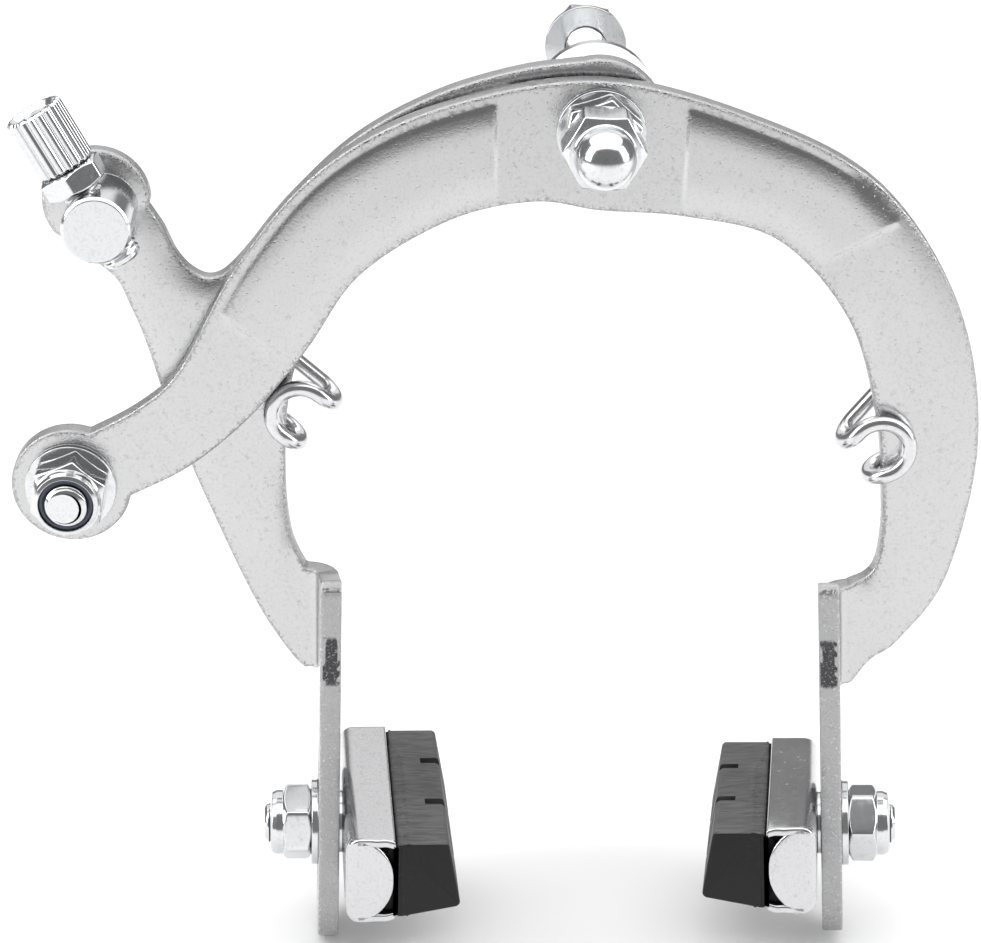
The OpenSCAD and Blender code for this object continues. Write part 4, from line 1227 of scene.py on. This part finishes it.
def carried(place, section, rows, shape):
    """The closed section at each row's y and inset, closed by a face at both ends."""
    inset = np.array([r[1] for r in rows])[:, None, None]
    d = np.roll(section, -1, axis=0) - np.roll(section, 1, axis=0)
    inward = np.stack([-d[:, 1], d[:, 0]], axis=1) / np.linalg.norm(d, axis=1)[:, None]
    flat = section[None] + inset * inward[None]
    y = np.repeat(np.array([r[0] for r in rows])[:, None], len(section), axis=1)
    x, z = shape(flat[..., 0], y, flat[..., 1])
    points, quads = grid(np.stack([x, y, z], axis=-1), around=True)
    n = len(section)
    ends = [list(range(n)), list(range(len(points) - n, len(points)))[::-1]]
    return place.on(points), quads.tolist() + ends, x, y, z


def end_rows(start, stop, step, radius):
    """Rows from start to stop; a quarter circle of the radius rounds both ends."""
    turn = np.radians(np.linspace(0, 90, 5))
    lead = [(radius * (1 - math.sin(t)), radius * (1 - math.cos(t))) for t in turn]
    lead = [(y, inset) for inset, y in lead]
    middle = np.arange(start + radius + step, stop - radius - step / 2, step)
    return [(start + y, i) for y, i in lead] + [(y, 0.0) for y in middle] \
        + [(stop - y, i) for y, i in lead[::-1]]


# %% Slots, torn border and both blocks
def band_border(y):
    """Where the rough band ends on the top: narrow at the back of the shoe, wide in front."""
    return LIP + 0.5 + 1.7 * smooth_rise(-y, -17.5, -6.0) - 0.35 * smooth_rise(-y, 6.0, 19.0)


def block_piece(side):
    place = SHOE[side]
    h = BLOCK_HIGH / 2
    wedge = np.array([[LIP + 0.1, -h], [BLOCK_REACH + CANT - 0.4, 1.7 - h],
                      [BLOCK_REACH + CANT, 2.2 - h], [BLOCK_REACH, h - 0.4],
                      [BLOCK_REACH - 0.4, h], [LIP + 0.1, h]])
    section = even(wedge, 0.3)
    rows = end_rows(-SHOE_LONG / 2, SHOE_LONG / 2, 0.45, 0.35)
    for middle in SLOTS:
        rows = [r for r in rows if min(abs(r[0] - middle - SLOT_WIDE / 2),
                                       abs(r[0] - middle + SLOT_WIDE / 2)) > 0.2]
        rows += [(middle + s * (SLOT_WIDE / 2 + q), 0.0) for s in (-1, 1)
                 for q in (-0.02, 0.02, 0.12)]
    rows = sorted(rows)

    def shape(x, y, z):
        cut = np.min([np.abs(y - middle) for middle in SLOTS], axis=0) < SLOT_WIDE / 2
        worn = 0.12 * np.exp(-(np.min([np.abs(np.abs(y - middle) - SLOT_WIDE / 2 - 0.02)
                                       for middle in SLOTS], axis=0) / 0.05) ** 2)
        x = np.where(cut, np.minimum(x, BLOCK_REACH - SLOT_DEEP), x - worn * (x > 14))
        torn = (0.55 + 0.45 * np.sin(7.3 * y + 1.3 * z) * np.sin(2.1 * y + 1))
        flash = 0.30 * torn * np.exp(-((x - band_border(y)) / 0.16) ** 2)
        return x, z + np.sign(z) * flash * (np.abs(z) > 0.8 * h)

    outer, faces, x, y, z = carried(place, section, rows, shape)
    rough = smooth_rise(band_border(y) - x, -0.12, 0.12).ravel()
    core = HOLDER_HIGH / 2 - SHEET - 0.05
    base = even(np.array([[1.9, -core + 0.8], [2.7, -core], [LIP + 0.3, -core],
                          [LIP + 0.3, core], [2.7, core], [1.9, core - 0.8]]), 0.6)
    inside, inner_faces, bx, _, _ = carried(
        place, base, end_rows(SHEET + 0.05 - SHOE_LONG / 2, SHOE_LONG / 2 - 0.05, 3.0, 0.3),
        lambda x, y, z: (x, z))
    dress(f"{side}_brake_block", [(outer, faces), (inside, inner_faces)],
          {"rough": np.concatenate([rough, np.ones(bx.size)])}, "moulded")


for side in ("left", "right"):
    block_piece(side)
print("dressed", len(SLOT), "solids")


# %% [markdown]
# ## The stage
#
# A photograph of plated metal is a photograph of what surrounds it. The floor is pale, so faces
# that lean towards it look light grey. The room between the floor and the soft boxes is dark, so
# the upper edges look dark. A large box hangs above, one far behind lights the upward faces of
# the holders and the rubber, and one on each side draws bright lines along the rounded edges.

# %% Floor
REACH_OUT = 6.0
CLEAR = 0.5 * MM
mesh = bpy.data.meshes.new("floor")
mesh.from_pydata([(x * REACH_OUT, y * REACH_OUT, 0)
                  for x, y in ((-1, -1), (1, -1), (1, 1), (-1, 1))], [], [(0, 1, 2, 3)])
floor = bpy.data.objects.new("floor", mesh)
floor.location.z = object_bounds()[0][2] - CLEAR
bpy.context.scene.collection.objects.link(floor)
paper = Finish("pale_floor", Metallic=0.0, Roughness=0.9)
mesh.materials.append(paper.feeds(Base_Color=paper.mix(paper.noise(0.002, 2, 0.5),
                                                        (0.86, 0.86, 0.86), (0.90, 0.90, 0.90))))


# %% Camera at the photograph's angle
EYE = (-21.52, -391.9, 114.62)
FOCAL_PIXELS, FRAME_WIDE, SENSOR = 2880, 981, 36.0
elevation, azimuth = math.radians(23.7), math.radians(-1.0)
back = Vector((math.sin(azimuth) * math.cos(elevation), -math.cos(azimuth) * math.cos(elevation),
               math.sin(elevation)))
camera = bpy.data.objects.new("camera", bpy.data.cameras.new("camera"))
camera.data.sensor_width = SENSOR
camera.data.lens = FOCAL_PIXELS / FRAME_WIDE * SENSOR
camera.data.clip_start = 0.01
camera.location = Vector(EYE) * MM
camera.rotation_euler = back.to_track_quat("Z", "Y").to_euler()
bpy.context.scene.collection.objects.link(camera)
bpy.context.scene.camera = camera
bpy.context.scene.view_settings.view_transform = "Standard"


# %% Soft boxes and the room
def soft_box(name, place, target, size, power):
    """A rectangle of light of the given size and watts, at a place and facing a target."""
    lamp = bpy.data.lights.new(name, "AREA")
    lamp.shape = "RECTANGLE"
    lamp.size, lamp.size_y = size
    lamp.energy = power
    box = bpy.data.objects.new(name, lamp)
    box.location = place
    box.rotation_euler = (Vector(place) - Vector(target)).to_track_quat("Z", "Y").to_euler()
    bpy.context.scene.collection.objects.link(box)


MIDDLE = (-0.01, -0.02, -0.05)
BOXES = {"ceiling_box": ((0.0, 0.1, 1.1), (0, 0.1, 0), (2.3, 1.7), 23),
         "back_wall": ((0.0, 1.7, 1.05), MIDDLE, (2.6, 1.3), 9),
         "left_box": ((-0.8, -0.25, 0.35), MIDDLE, (0.4, 0.7), 5),
         "right_box": ((0.85, -0.2, 0.3), MIDDLE, (0.4, 0.7), 4)}
for name, (place, target, size, power) in BOXES.items():
    soft_box(name, place, target, size, power)
print("lit by", ", ".join(BOXES))

world = bpy.data.worlds.new("room")
bpy.context.scene.world = world
world.use_nodes = True
sky = world.node_tree
shade = sky.nodes["Background"]
shade.inputs["Color"].default_value = (0.9, 0.9, 0.9, 1)
shade.inputs["Strength"].default_value = 0.26
